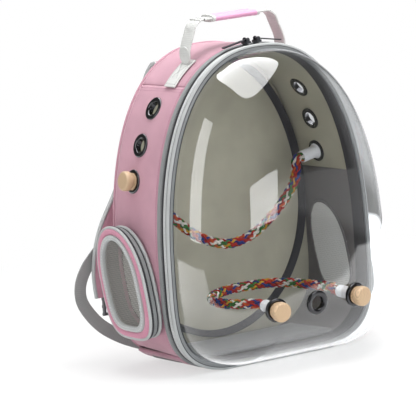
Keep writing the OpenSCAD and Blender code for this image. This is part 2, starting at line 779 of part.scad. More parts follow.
// Pull: a cross pin between the slider's ears and a flat tongue
module zip_pull(s) {
  slider_at(s) translate([0, 0, pull_pin_h]) rotate([0, s * pull_rest, 0]) {
    rotate([90, 0, 0]) translate([0, 0, -2.3]) cylinder(r = 1.2, h = 4.6);
    translate([s > 0 ? 0 : -pull_l, -1.6, -0.7]) cube([pull_l, 3.2, 1.4]);
    translate([s > 0 ? 6 : -pull_l, -pull_w / 2, -0.7]) cube([pull_l - 6, pull_w, 1.4]);
  }
}
module left_zip_pull() {
  color("#4a4b4e") shell_frame() zip_pull(-1);
}
module right_zip_pull() {
  color("#4a4b4e") shell_frame() zip_pull(1);
}

// ---- back and shoulder straps ---------------------------------------------------

yoke_t = 3;
yoke_z = 341;
yoke_w = 118;                     // width of the band that carries the pads
pad_lift = 1.8;                   // how far a pad's middle starts behind the band
route_d = 118;                    // depth of shell that the strap routes are written for
buckle_at = [121, 39, 66.5];      // a buckle's middle, its depth from the shell's back
anchor = [64, 28, 7, 12];         // a webbing anchor's inner edge, width, depth and height
yoke_y = body_d + yoke_t;
module strap_yoke() {
  color(pink) shell_frame()
    translate([-yoke_w / 2, body_d + touch, yoke_z - 8]) cube([yoke_w, yoke_t, 16]);
}
function pad_path() = concat([[36, yoke_y + pad_lift, yoke_z]], [for (p = pad_route) p + [0, body_d - route_d, 0]]);
module shoulder_pad(s) {
  p = curve(pad_path(), 2);
  right_side(s) skin(ribbon(p, pad_w, pad_t, [0, 1, 0.35], 3));
}
module left_shoulder_pad() {
  color(pink) shell_frame() shoulder_pad(-1);
}
module right_shoulder_pad() {
  color(pink) shell_frame() shoulder_pad(1);
}
module webbing(s) {
  p = curve([for (q = webbing_route) q + [0, body_d - route_d, 0]], 2);
  right_side(s) skin(ribbon(p, webbing_w, webbing_t, [0, 1, 0]));
}
module left_webbing() {
  color("#c3c5c4") shell_frame() webbing(-1);
}
module right_webbing() {
  color("#c3c5c4") shell_frame() webbing(1);
}
// Ladder lock below a pad's lower end
module buckle(s) {
  right_side(s) translate(buckle_at + [0, body_d, 0]) difference() {
    translate([-15, -2.5, -11]) cube([30, 5, 22]);
    for (z = [-6.5, 2.5])
      translate([-11, -4, z]) cube([22, 8, 4]);
  }
}
module left_buckle() {
  color(dark) shell_frame() buckle(-1);
}
module right_buckle() {
  color(dark) shell_frame() buckle(1);
}
module webbing_anchors() {
  color(pink) shell_frame() for (s = [-1, 1]) right_side(s)
    translate([anchor[0], body_d + touch, 10]) cube([anchor[1], anchor[2], anchor[3]]);
}

back_panel();
back_pad();
top_panel();
left_panel();
right_panel();
bottom_panel();
upper_lining();
lower_lining();
inner_nets();
back_lining();
lining_trim();
floor_mat();
body_rim();
body_tape();
body_zip();
body_binding();
door_rim();
door_tape();
door_zip();
door_binding();
clear_dome();
front_eyelets();
left_eyelets();
right_eyelets();
upper_left_knob();
upper_right_knob();
front_left_knob();
front_right_knob();
upper_left_stud();
upper_right_stud();
front_left_stud();
front_right_stud();
upper_left_ferrule();
upper_right_ferrule();
front_left_ferrule();
front_right_ferrule();
upper_rope();
lower_rope();
left_pod_wall();
left_pod_frame();
left_pod_piping();
left_pod_mesh();
right_pod_wall();
right_pod_frame();
right_pod_piping();
right_pod_mesh();
handle_webbing();
handle_grip();
handle_tabs();
zip_sliders();
left_zip_pull();
right_zip_pull();
strap_yoke();
left_shoulder_pad();
right_shoulder_pad();
left_webbing();
right_webbing();
left_buckle();
right_buckle();
webbing_anchors();
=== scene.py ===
"""Dresses the bird travel carrier's frame with fabric, rope, wood and metal pieces."""

import contextlib
import math

import bmesh
import bpy
from mathutils import Matrix, Vector, noise


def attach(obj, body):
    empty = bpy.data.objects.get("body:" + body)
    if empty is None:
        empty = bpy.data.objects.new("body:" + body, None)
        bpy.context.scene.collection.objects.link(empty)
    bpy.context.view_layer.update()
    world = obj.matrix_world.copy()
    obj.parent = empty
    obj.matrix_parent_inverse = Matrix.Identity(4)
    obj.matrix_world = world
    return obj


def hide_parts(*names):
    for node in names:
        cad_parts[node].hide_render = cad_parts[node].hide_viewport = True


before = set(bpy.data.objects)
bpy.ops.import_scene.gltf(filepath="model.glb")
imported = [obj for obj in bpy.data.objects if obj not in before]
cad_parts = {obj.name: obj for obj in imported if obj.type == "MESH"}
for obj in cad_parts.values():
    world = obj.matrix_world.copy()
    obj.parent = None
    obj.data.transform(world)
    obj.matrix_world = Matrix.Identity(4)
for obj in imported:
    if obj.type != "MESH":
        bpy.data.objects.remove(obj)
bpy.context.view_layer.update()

bl_info = {
    "name": "Bird travel carrier",
    "version": (1, 0, 0),
    "blender": (4, 5, 0),
    "location": "View3D > Sidebar > Carrier",
    "description": "Fabric, rope, wood and metal pieces for a bird travel carrier",
    "category": "Mesh",
}

# Sizes of the frame, in millimetres. Y counts backwards from the front of the zip ring.
FRONT_Y = -70.5
BODY_W = 292
BODY_H = 370
BODY_D = 118
WIDE_Z = 121
EGG_TOP = 2.36
EGG_LOW = 3.98
BASE_SAG = 2.5
RING_D = 23
WALL_IN = 2
WALL_T = 2.4
WALL_TAPER = 4
DOME_D = 84
DOME_FULL = 2.8
DOME_Z = 110
DOME_WALL = 1.5
DOME_O = 7.05
BACK_Y = 114.6
CABIN_O = 5.25
SIDE_STACK = 4.05
DOME_STACK = 2.7
WASHER_T = 1.2
EYELET_R = 8
FLANGE_R = 14
FERRULE_L = 23
POD_Y = 71.5
POD_Z = 108
POD_W = 92
POD_H = 130
POD_LEAN = 0.24
POD_DOOR_X = 160
POD_EDGE = 16
HANDLE_Y = 50
HANDLE_HALF = 68
SIDE_EYELET_Y = 76
SIDE_EYELET_STEP_Y = 5.5
SIDE_EYELET_Z = 222
SIDE_EYELET_STEP_Z = 41
FRONT_EYELET_TURN = 56
FRONT_EYELET_DROP = 34
SEAM_TURN = 55
BASE_TURN = 45
LINING_TURN = 15
LINING_T = 0.8
POD_FULL_TOP = 2.15
POD_FULL_LOW = 3.6
HANDLE_RISE = 49

# Details that the frame leaves out, in millimetres
BACK_INSET = 38
BACK_MIDDLE = 145
MAT_Y = 67.8
MAT_HALF_D = 40
CANVAS_HOLE_R = 9.7
LINING_HOLE_R = 9.9
DOME_HOLE_R = 9.6
INNER_THREAD_R = 1.12
POD_THREAD_R = 0.42
BRAID_R = 4.15
BRAID_WAVE = 0.7
YARN_R = 1.3
CORE_R = 3.2
GRIP_HALF = 33
PAD_HALF_W = 22.2
BUCKLE_Y = 157
YOKE_Z = 341
TAIL_STITCH_STEP = 2.6

# Net of six-sided loops: its rows' distance and a loop's radius, as shares of the loops' distance
NET_ROW = 0.866
NET_RADIUS = 0.577

# Scale of a wave texture with one band to the millimetre
WAVE = 314

X, Y, Z = Vector((1, 0, 0)), Vector((0, 1, 0)), Vector((0, 0, 1))
SIDES = ((-1, "left"), (1, "right"))

# Routes of the soft pieces, the same as in the frame's source
UPPER_ROUTE = [
    (-97, 73, 195), (-88, 72, 176), (-64, 70, 153), (-37, 70, 138), (-8, 70, 131),
    (22, 70, 136), (48, 70, 150), (74, 70, 171), (92, 72, 191),
]
LOWER_ROUTE = [
    (-60, -34, 79), (-68, -8, 77), (-68, 20, 76), (-54, 50, 76), (-24, 70, 76), (8, 75, 76),
    (38, 70, 76), (58, 48, 76), (64, 20, 76), (66, -8, 77), (60, -34, 79),
]
PAD_ROUTE = [
    (36, 122.8, 341), (37, 135, 340), (42, 147, 318), (49, 155, 280), (63, 160, 234), (87, 161, 190),
    (111, 161, 150), (121, 160, 112), (121, 157, 78),
]
WEBBING_ROUTE = [
    (118, 167, 140), (136, 166, 126), (152, 163, 112), (162, 161, 95), (163, 159, 77), (154, 156, 59),
    (140, 152, 43), (121, 146, 30), (102, 138, 21), (88, 126, 16),
]


# ---- formulas ---------------------------------------------------------------


def at(x, y, z):
    """A point in the frame, from millimetres behind the ring's front."""
    return Vector((x, y + FRONT_Y, z)) / 1000


def spow(v, p):
    return math.copysign(abs(v) ** p, v)


def oval(count, px, py):
    """Points of a superellipse of unit size."""
    ways = (2 * math.pi * k / count for k in range(count))
    return [(spow(math.cos(q), px), spow(math.sin(q), py)) for q in ways]


def egg(t, o):
    """The shell's outline at a turn in degrees, that far inside its edge."""
    s, c = math.sin(math.radians(t)), math.cos(math.radians(t))
    full = EGG_TOP if s >= 0 else EGG_LOW
    reach = BODY_H - WIDE_Z - o if s >= 0 else WIDE_Z + BASE_SAG - o
    return (BODY_W / 2 - o) * spow(c, 2 / full), max(o, WIDE_Z + reach * spow(s, 2 / full))


def egg_at(t, o, y):
    x, z = egg(t, o)
    return at(x, y, z)


def egg_half(z, o):
    return (BODY_W / 2 - o) * (1 - ((z - WIDE_Z) / (BODY_H - WIDE_Z - o)) ** EGG_TOP) ** (1 / EGG_TOP)


def top_z(x, o):
    return WIDE_Z + (BODY_H - WIDE_Z - o) * (1 - (abs(x) / (BODY_W / 2 - o)) ** EGG_TOP) ** (1 / EGG_TOP)


def taper(y):
    return WALL_TAPER * (y - RING_D) / (BODY_D - RING_D)


def running(points, closed=False):
    """Length along a path up to each of its points."""
    run = [0.0]
    for p, q in zip(points, points[1:]):
        run.append(run[-1] + (q - p).length)
    if closed:
        run.append(run[-1] + (points[0] - points[-1]).length)
    return run


def stations(run, count):
    """The span, and the share of it, at which each of count equal steps of a running length ends."""
    out, k = [], 0
    for i in range(count + 1):
        want = run[-1] * i / count
        while k < len(run) - 2 and run[k + 1] < want:
            k += 1
        out.append((k, (want - run[k]) / max(run[k + 1] - run[k], 1e-9)))
    return out


def even(fn, a, b, count, *args):
    """Parameters from a to b that cut fn's path into equal lengths."""
    fine = 2000
    ts = [a + (b - a) * i / fine for i in range(fine + 1)]
    run = running([Vector(fn(t, *args)) for t in ts])
    return [ts[k] + (ts[k + 1] - ts[k]) * f for k, f in stations(run, count)]


def turns(a, b, count):
    return even(egg, a, b, count, 4)


def loop_turns(count):
    return turns(0, 360, count)[:-1]


def smooth_curve(points, k):
    """A smooth curve through the points, k steps for each span."""
    p = [Vector(q) for q in points]
    out = []
    for i in range(len(p) - 1):
        a, b, c, d = p[max(i - 1, 0)], p[i], p[i + 1], p[min(i + 2, len(p) - 1)]
        for j in range(k):
            f = j / k
            out.append(0.5 * (2 * b + (c - a) * f + (2 * a - 5 * b + 4 * c - d) * f * f
                              + (3 * b - a - 3 * c + d) * f ** 3))
    out.append(p[-1])
    return out


def respace(path, step):
    """The path with points an equal step apart."""
    run = running(path)
    return [path[k].lerp(path[k + 1], f) for k, f in stations(run, max(2, round(run[-1] / step)))]


def outline_normal(t, o):
    """Outward direction of the shell's outline in the X-Z plane."""
    (x0, z0), (x1, z1) = egg(t - 0.4, o), egg(t + 0.4, o)
    n = Vector((z1 - z0, 0, -(x1 - x0)))
    return n.normalized() if n.length > 1e-9 else Z.copy()


def side_seat(s, k):
    """Middle and outward direction of a side eyelet, in millimetres."""
    y, z = SIDE_EYELET_Y - SIDE_EYELET_STEP_Y * k, SIDE_EYELET_Z + SIDE_EYELET_STEP_Z * k
    o = WALL_IN + taper(y)
    e = 0.05
    slope = (egg_half(z + e, o) - egg_half(z - e, o)) / (2 * e)
    tilt = math.atan2(-slope, 1)
    way = Vector((s * math.cos(tilt), WALL_TAPER / (BODY_D - RING_D), math.sin(tilt))).normalized()
    return Vector((s * egg_half(z, o), y, z)), way


def side_holes(side, radius):
    return [(*side_seat(side, k), radius) for k in range(3)]


def dome_point(t, u):
    r = max(math.cos(math.radians(u)), 0) ** (2 / DOME_FULL)
    x, z = egg(t, DOME_O)
    return Vector((x * r, -DOME_D * math.sin(math.radians(u)) ** (2 / DOME_FULL), DOME_Z + (z - DOME_Z) * r))


def dome_rib(u):
    return dome_point(0, u)


def front_seat(i):
    """Middle and outward direction of an eyelet in the dome."""
    t = 270 + i * FRONT_EYELET_TURN
    u = math.degrees(math.acos((FRONT_EYELET_DROP / (DOME_Z - egg(t, DOME_O)[1])) ** (DOME_FULL / 2)))
    n = (dome_point(t + 1, u) - dome_point(t - 1, u)).cross(dome_point(t, u - 1) - dome_point(t, u + 1))
    n.normalize()
    return dome_point(t, u), n if n.y < 0 else -n


def pod_point(t, o):
    """The pod's leaning oval, as Y and Z in millimetres."""
    s, c = math.sin(math.radians(t)), math.cos(math.radians(t))
    full = POD_FULL_TOP if s >= 0 else POD_FULL_LOW
    v = (POD_H / 2 - o) * spow(s, 2 / full)
    return POD_Y + (POD_W / 2 - o) * spow(c, 2 / full) + POD_LEAN * v, POD_Z + v


def inner_half(z, y):
    """Half the cabin's width at a height, just inside its lining."""
    o = CABIN_O + 0.5 + taper(y)
    if z >= WIDE_Z:
        return egg_half(z, o)
    return (BODY_W / 2 - o) * (1 - ((WIDE_Z - z) / (WIDE_Z + BASE_SAG - o)) ** EGG_LOW) ** (1 / EGG_LOW)


def ripple(p, scale, seed):
    """Smooth variation between -1 and 1, about as wide as scale millimetres."""
    return noise.noise(Vector((p.x, p.y, p.z)) * (1000 / scale) + Vector((seed, 3.1 * seed, 7.7)))


# ---- mesh tools -------------------------------------------------------------


@contextlib.contextmanager
def edited(mesh):
    """The mesh as a bmesh, written back at the end."""
    bm = bmesh.new()
    bm.from_mesh(mesh)
    yield bm
    bm.to_mesh(mesh)
    bm.free()


def put(name, data):
    """A new object in the scene."""
    obj = bpy.data.objects.new(name, data)
    bpy.context.scene.collection.objects.link(obj)
    return obj


def shade_smooth(obj, angle):
    obj.data.polygons.foreach_set("use_smooth", [True] * len(obj.data.polygons))
    obj.data.set_sharp_from_angle(angle=math.radians(angle))


def new_piece(name, verts, faces, material, uvs=None):
    mesh = bpy.data.meshes.new(name)
    mesh.from_pydata([tuple(v) for v in verts], [], faces)
    if uvs:
        layer = mesh.uv_layers.new(name="Surface")
        layer.data.foreach_set("uv", [c for uv in uvs for c in uv])
    mesh.materials.append(material)
    return put(name, mesh)


def loft(name, rows, cloth, ring=False, closed=False, caps=False, angle=38, solid=True):
    """Skin over sections. ring: a section closes on itself. closed: the last section meets the first."""
    m, n = len(rows), len(rows[0])
    u = running([sum(r, Vector()) / n for r in rows], closed)
    if u[-1] < 0.004:
        u = running([r[0] for r in rows], closed)
    v = running(rows[m // 2], ring)
    faces, uvs = [], []
    for i in range(m if closed else m - 1):
        for j in range(n if ring else n - 1):
            i1, j1 = (i + 1) % m, (j + 1) % n
            faces.append((i * n + j, i * n + j1, i1 * n + j1, i1 * n + j))
            uvs += [(u[i], v[j]), (u[i], v[j + 1]), (u[i + 1], v[j + 1]), (u[i + 1], v[j])]
    if caps:
        for i in (0, m - 1):
            faces.append(tuple(i * n + j for j in range(n)))
            uvs += [(u[i], v[j]) for j in range(n)]
    obj = new_piece(name, [p for r in rows for p in r], faces, finish(cloth), uvs)
    with edited(obj.data) as bm:
        bmesh.ops.remove_doubles(bm, verts=bm.verts, dist=1e-6)
        if solid:
            bmesh.ops.recalc_face_normals(bm, faces=bm.faces)
    shade_smooth(obj, angle)
    return obj


def frames(path, hint=None, closed=False):
    """Direction, side and top at each point of a path, without twist where no hint is given."""
    n, out, side = len(path), [], None
    for i in range(n):
        a = path[i - 1] if (closed or i > 0) else path[0]
        b = path[(i + 1) % n] if (closed or i < n - 1) else path[-1]
        d = (b - a).normalized()
        if hint is not None:
            side = hint.cross(d).normalized()
        elif side is None:
            side = Vector((0.13, 0.29, 0.95)).cross(d).normalized()
        else:
            side = (side - d * side.dot(d)).normalized()
        out.append((d, side, d.cross(side)))
    return out


def sweep(name, path, section, cloth, hint=None, closed=False):
    """A section in millimetres carried along a path."""
    rows = [
        [p + s * q[0] / 1000 + t * q[1] / 1000 for q in section]
        for p, (d, s, t) in zip(path, frames(path, hint, closed))
    ]
    return loft(name, rows, cloth, ring=True, closed=closed, caps=not closed)


def circle(r, n=12):
    return [(r * math.cos(2 * math.pi * i / n), r * math.sin(2 * math.pi * i / n)) for i in range(n)]


def rounded(w, h, r, k=3):
    """Rounded rectangle about the middle, in millimetres."""
    out = []
    x, y = w / 2 - r, h / 2 - r
    for cx, cy, a in ((x, y, 0), (-x, y, 90), (-x, -y, 180), (x, -y, 270)):
        for i in range(k + 1):
            q = math.radians(a + 90 * i / k)
            out.append((cx + r * math.cos(q), cy + r * math.sin(q)))
    return out


def lathe(name, profile, seat, way, cloth, segs=72, angle=38):
    """Turned piece from (radius, height) pairs in millimetres. Keeps its own coordinates for grain."""
    way = way.normalized()
    a = way.orthogonal().normalized()
    b = way.cross(a)
    ways = [a * math.cos(q) + b * math.sin(q) for q in (2 * math.pi * i / segs for i in range(segs))]
    rows = [[at(*(seat + way * h + side * r)) for side in ways] for r, h in profile]
    obj = loft(name, rows, cloth, ring=True, angle=angle)
    origin = at(*seat)
    grain = obj.data.attributes.new("grain", "FLOAT_VECTOR", "POINT")
    grain.data.foreach_set("vector", [(v.co - origin).dot(axis) for v in obj.data.vertices for axis in (a, b, way)])
    return obj


def bake(obj):
    """Turns an object with modifiers into a plain mesh."""
    graph = bpy.context.evaluated_depsgraph_get()
    graph.update()
    old, obj.data = obj.data, bpy.data.meshes.new_from_object(obj.evaluated_get(graph))
    obj.modifiers.clear()
    bpy.data.meshes.remove(old)
    return obj


def thicken(obj, mm):
    """Gives an open sheet its thickness, inwards."""
    mod = obj.modifiers.new("Thickness", "SOLIDIFY")
    mod.thickness = mm / 1000
    mod.offset = -1
    mod.use_even_offset = True
    return bake(obj)


def face_away(obj, centre):
    """Points an open sheet's faces away from a centre."""
    with edited(obj.data) as bm:
        bmesh.ops.recalc_face_normals(bm, faces=bm.faces)
        if sum((f.calc_center_median() - centre).dot(f.normal) * f.calc_area() for f in bm.faces) < 0:
            bmesh.ops.reverse_faces(bm, faces=bm.faces)


def cut_holes(obj, holes):
    """Clean round holes in an open sheet: (seat, way, radius) in millimetres."""

    def split(p):
        """A point's height over the hole's plane, and its way out from the hole's axis."""
        height = (p - c).dot(way)
        return abs(height), (p - c) - way * height

    with edited(obj.data) as bm:
        for seat, way, radius in holes:
            c, r = at(*seat), radius / 1000
            gone = []
            for f in bm.faces:
                height, out = split(f.calc_center_median())
                if height < 0.02 and out.length < r:
                    gone.append(f)
            bmesh.ops.delete(bm, geom=gone, context="FACES")
            for v in bm.verts:
                height, out = split(v.co)
                if v.is_boundary and height < 0.02 and 0 < out.length < 1.7 * r:
                    v.co += out.normalized() * r - out


def inside(p, poly):
    hit = False
    for (x0, y0), (x1, y1) in zip(poly, poly[1:] + poly[:1]):
        if (y0 > p[1]) != (y1 > p[1]) and p[0] < (x1 - x0) * (p[1] - y0) / (y1 - y0) + x0:
            hit = not hit
    return hit


def cut_pod_opening(obj, side):
    """The hole in the shell's side that the pod covers."""
    poly = [pod_point(t, POD_EDGE) for t in even(pod_point, 0, 360, 90, POD_EDGE)[:-1]]
    with edited(obj.data) as bm:
        gone = []
        for f in bm.faces:
            p = f.calc_center_median()
            if side * p.x > 0.1 and inside((p.y * 1000 - FRONT_Y, p.z * 1000), poly):
                gone.append(f)
        bmesh.ops.delete(bm, geom=gone, context="FACES")
        for v in bm.verts:
            if v.is_boundary and side * v.co.x > 0.1:
                y, z = v.co.y * 1000 - FRONT_Y, v.co.z * 1000
                gap, (near_y, near_z) = min(((q[0] - y) ** 2 + (q[1] - z) ** 2, q) for q in poly)
                if gap < 12:
                    v.co.y = (near_y + FRONT_Y) / 1000
                    v.co.z = near_z / 1000


def join(name, objs):
    """One plain mesh from several on the same body."""
    mesh = bpy.data.meshes.new(name)
    slots = []
    with edited(mesh) as bm:
        for o in objs:
            start = len(bm.faces)
            bm.from_mesh(o.data)
            bm.faces.ensure_lookup_table()
            for m in o.data.materials:
                if m not in slots:
                    slots.append(m)
            local = [slots.index(m) for m in o.data.materials]
            for f in bm.faces[start:]:
                f.material_index = local[f.material_index] if local else 0
    for m in slots:
        mesh.materials.append(m)
    for o in objs:
        bpy.data.objects.remove(o)
    return put(name, mesh)


def settle(obj, body, slot, *nodes):
    """Rides a finished piece on its body, in place of its frame nodes. The slot is not used."""
    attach(obj, body)
    if nodes:
        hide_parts(*nodes)
    return obj


def puff(obj, sewn, cap):
    """Blows a padded piece up as cloth held at its sewn points; no point moves further than cap
    millimetres."""
    scene = bpy.context.scene
    flat = [v.co.copy() for v in obj.data.vertices]
    group = obj.vertex_groups.new(name="sewn")
    group.add(sewn, 1.0, "REPLACE")
    cloth = obj.modifiers.new("Cloth", "CLOTH")
    for key, value in {
        "vertex_group_mass": "sewn", "quality": 8, "mass": 0.3, "tension_stiffness": 12, "compression_stiffness": 12,
        "shear_stiffness": 6, "bending_stiffness": 0.4, "use_pressure": True, "uniform_pressure_force": 4.0,
    }.items():
        setattr(cloth.settings, key, value)
    cloth.settings.effector_weights.gravity = 0
    steps = 20
    cloth.point_cache.frame_start = 1
    cloth.point_cache.frame_end = steps
    for step in range(1, steps + 1):
        scene.frame_set(step)
    blown = obj.evaluated_get(bpy.context.evaluated_depsgraph_get()).to_mesh()
    ends = [v.co.copy() for v in blown.vertices]
    obj.modifiers.remove(cloth)
    obj.vertex_groups.remove(group)
    scene.frame_set(1)
    limit = cap / 1000
    for v, a, b in zip(obj.data.vertices, flat, ends):
        move = b - a
        if move.length > 1e-7:
            v.co = a + move * (limit * math.tanh(move.length / limit) / move.length)
    obj.data.update()


# ---- node trees -------------------------------------------------------------


class Nodes:
    """Builds a node tree: each call adds a node and returns one of its outputs."""

    def __init__(self, tree, family="ShaderNode"):
        self.tree = tree
        self.family = family

    def add(self, kind, values=None, result=0, **settings):
        """A node with its settings, and with plain values or other nodes' outputs on its inputs."""
        node = self.tree.nodes.new(kind if kind.startswith("NodeGroup") else self.family + kind)
        for key, value in settings.items():
            setattr(node, key, value)
        for key, value in (values or {}).items():
            if isinstance(value, bpy.types.NodeSocket):
                self.tree.links.new(value, node.inputs[key])
            else:
                node.inputs[key].default_value = value
        return node.outputs[result] if node.outputs else None

    def math(self, operation, *values):
        return self.add("Math", dict(enumerate(values)), operation=operation)

    def vector_math(self, operation, *values):
        return self.add("VectorMath", dict(enumerate(values)), "Value", operation=operation)

    def tint(self, share, a, b, mode="MIX"):
        """Colour a, turning into colour b."""
        return self.add("Mix", {0: share, 6: a, 7: b}, 2, data_type="RGBA", blend_type=mode)

    def either(self, share, a, b):
        """Shader a, turning into shader b."""
        return self.add("MixShader", {0: share, 1: a, 2: b})

    def ramp(self, value, start, end, low=0.0, high=1.0):
        return self.add("MapRange", {
            "Value": value, "From Min": start, "From Max": end, "To Min": low, "To Max": high})

    def cloud(self, vector, scale, detail, roughness=0.5):
        values = {"Vector": vector, "Scale": scale, "Detail": detail, "Roughness": roughness}
        return self.add("TexNoise", values, "Fac")

    def waves(self, vector, scale, distortion, detail, detail_scale, direction="X"):
        values = {"Vector": vector, "Scale": scale, "Distortion": distortion, "Detail": detail}
        return self.add("TexWave", {**values, "Detail Scale": detail_scale}, "Fac", bands_direction=direction)

    def bump(self, height, strength, distance):
        return self.add("Bump", {"Height": height, "Strength": strength, "Distance": distance})

    def skin(self, colour, roughness, normal, more):
        """The material's whole surface."""
        values = {"Base Color": colour, "Roughness": roughness, "Normal": normal, **more}
        self.add("OutputMaterial", {0: self.add("BsdfPrincipled", values)})

    def seen(self, rays):
        """One for the camera's own rays, also behind clear plastic."""
        return self.math("MAXIMUM", rays["Is Camera Ray"], rays["Is Transmission Ray"])

    def copies(self, points, unit, material, more=None):
        """A real copy of the unit on every point, as the group's result."""
        spread = self.add("InstanceOnPoints", {"Points": points, "Instance": unit, **(more or {})})
        real = self.add("RealizeInstances", {"Geometry": spread})
        painted = self.add("SetMaterial", {"Geometry": real, "Material": material})
        self.add("NodeGroupOutput", {"Result": painted})


def group_tree(name, inputs):
    """A geometry node group with these inputs: its builder and its inputs' sockets."""
    tree = bpy.data.node_groups.new(name, "GeometryNodeTree")
    for label, kind in inputs.items():
        tree.interface.new_socket(label, in_out="INPUT", socket_type=f"NodeSocket{kind}")
    tree.interface.new_socket("Result", in_out="OUTPUT", socket_type="NodeSocketGeometry")
    n = Nodes(tree, "GeometryNode")
    return n, n.add("NodeGroupInput").node.outputs


STITCHES, TEETH, LOOPS = "Row of stitches", "Row of teeth", "Knitted net"


def row_tree(name):
    """Small pieces along a path: stitches as capsules, zip teeth as blocks."""
    n, given = group_tree(name, {"Path": "Geometry", "Spacing": "Float", "Size": "Vector", "Material": "Material"})
    curve = n.add("MeshToCurve", {"Mesh": given["Path"]})
    points = n.add("CurveToPoints", {"Curve": curve, "Length": given["Spacing"]}, mode="LENGTH")
    if name == STITCHES:
        unit = n.add("MeshUVSphere", {"Segments": 6, "Rings": 4, "Radius": 0.5})
    else:
        unit = n.add("MeshCube", {"Size": (1, 1, 1)})
    sized = n.add("Transform", {"Geometry": unit, "Scale": given["Size"]})
    n.copies(points, sized, given["Material"], {"Rotation": points.node.outputs["Rotation"]})
    return n.tree


def net_tree(name):
    """Knitted net: one six-sided loop of thread on every point."""
    n, given = group_tree(name, {
        "Points": "Geometry", "Loop radius": "Float", "Thread radius": "Float", "Material": "Material"})
    loop, thread = (
        n.add("CurvePrimitiveCircle", {"Resolution": sides, "Radius": given[f"{part} radius"]}, mode="RADIUS")
        for part, sides in (("Loop", 6), ("Thread", 4))
    )
    tube = n.add("CurveToMesh", {"Curve": loop, "Profile Curve": thread})
    upright = n.add("Transform", {"Geometry": tube, "Rotation": (0, math.pi / 2, 0)})
    n.copies(given["Points"], upright, given["Material"])
    return n.tree


def grow(name, group, make, verts, edges, values):
    """Runs a node group, made once, on a wire or points and keeps the plain result."""
    tree = bpy.data.node_groups.get(group) or make(group)
    mesh = bpy.data.meshes.new(name)
    mesh.from_pydata([tuple(v) for v in verts], edges, [])
    obj = put(name, mesh)
    mod = obj.modifiers.new(group, "NODES")
    mod.node_group = tree
    for item in tree.interface.items_tree:
        if item.in_out == "INPUT" and item.name in values:
            mod[item.identifier] = values[item.name]
    bake(obj)
    if not obj.data.polygons:
        raise RuntimeError(f"{name}: the node tree made nothing")
    shade_smooth(obj, 45)
    return obj


def row(name, group, path, closed, step, size, cloth):
    """Small pieces along a path, their step and size in millimetres."""
    edges = [(i, i + 1) for i in range(len(path) - 1)] + [(len(path) - 1, 0)] * closed
    return grow(name, group, row_tree, path, edges, {
        "Spacing": step / 1000, "Size": tuple(c / 1000 for c in size), "Material": finish(cloth)})


def stitches(name, path, thread, closed=False, length=2.5, width=0.4, step=None):
    """A line of stitches, as far apart as the panel says where no step is given."""
    step = step or bpy.context.scene.carrier_sizes.stitch
    return row(name, STITCHES, path, closed, step, (width, width, length), thread)


def teeth(name, path, size):
    step = bpy.context.scene.carrier_sizes.tooth
    return row(name, TEETH, path, True, step, size, "zip teeth")


def net(name, poly, surface, thread, cloth):
    """Knitted loops in staggered rows inside an oval. surface: the point at a Y and Z in millimetres."""
    pitch = bpy.context.scene.carrier_sizes.net_loop
    rows = int(POD_H / (pitch * NET_ROW)) + 2
    cols = int(POD_W / pitch) + 12
    points = []
    for i in range(-rows // 2, rows // 2 + 1):
        for j in range(-cols // 2, cols // 2 + 1):
            y, z = POD_Y + (j + (0.5 if i % 2 else 0)) * pitch, POD_Z + i * pitch * NET_ROW
            if inside((y, z), poly):
                points.append(surface(y, z))
    return grow(name, LOOPS, net_tree, points, [], {
        "Loop radius": pitch * NET_RADIUS / 1000, "Thread radius": thread / 1000, "Material": finish(cloth)})


# ---- finishes ---------------------------------------------------------------


def shade(code, factor=1.0):
    """Linear colour of an sRGB hex value, made lighter or darker."""
    parts = [int(code[i:i + 2], 16) / 255 for i in (1, 3, 5)]
    return tuple((c / 12.92 if c <= 0.04045 else ((c + 0.055) / 1.055) ** 2.4) * factor for c in parts) + (1.0,)


def new_finish(name):
    mat = bpy.data.materials.new(name)
    mat.use_nodes = True
    mat.node_tree.nodes.clear()
    return mat, Nodes(mat.node_tree)


def nap(spec, sheen, spread):
    """How a cloth's surface takes light."""
    return {"IOR": 1.5, "Specular IOR Level": spec, "Sheen Weight": sheen, "Sheen Roughness": spread}


def woven(name, code, thread, depth, sheen, rough=0.82, rib=None, mottle=0.08, grain=34):
    """Woven cloth on the piece's own UV map: two sets of threads, a soft mottle and a light nap.
    Threads under half a millimetre don't show in a render, so they are drawn coarser than they are.
    Without a thread the cloth is canvas, with its thread from the panel."""
    thread = thread or bpy.context.scene.carrier_sizes.thread
    mat, n = new_finish(name)
    uv = n.add("UVMap", uv_map="Surface")
    place = n.add("TexCoord", result="Object")
    across = n.waves(uv, WAVE / (rib or thread), 0.6, 1.0, 2.0)
    along = n.waves(uv, WAVE / thread, 0.6, 1.0, 2.0, "Y")
    weave = n.math("MULTIPLY", across, along)
    tone = n.ramp(n.cloud(place, grain, 3.0, 0.55), 0.3, 0.7)
    body = n.tint(tone, shade(code, 1 - mottle), shade(code, 1 + mottle * 0.5))
    level = n.tint(0.55, n.tint(0.35, body, weave, "MULTIPLY"), body)
    fuzz = n.math("MULTIPLY_ADD", n.cloud(place, 900.0, 2.0), 0.35, weave)
    n.skin(level, rough, n.bump(fuzz, 0.6, depth / 1000), nap(0.3, sheen, 0.45))
    return mat


def smooth_solid(name, code, rough, metal=0.0, wear=0.06, coat=0.0):
    """Moulded plastic, plated metal or lacquer: a faint unevenness in tone and gloss."""
    mat, n = new_finish(name)
    cloud = n.cloud(n.add("TexCoord", result="Object"), 220, 4.0)
    body = n.tint(cloud, shade(code, 1 - wear), shade(code, 1 + wear))
    gloss = n.ramp(cloud, 0.0, 1.0, rough * 0.8, rough * 1.25)
    n.skin(body, gloss, n.bump(cloud, 0.15, 0.00004), {
        "Metallic": metal, "IOR": 1.5, "Coat Weight": coat, "Coat Roughness": 0.08, "Specular IOR Level": 0.5})
    return mat


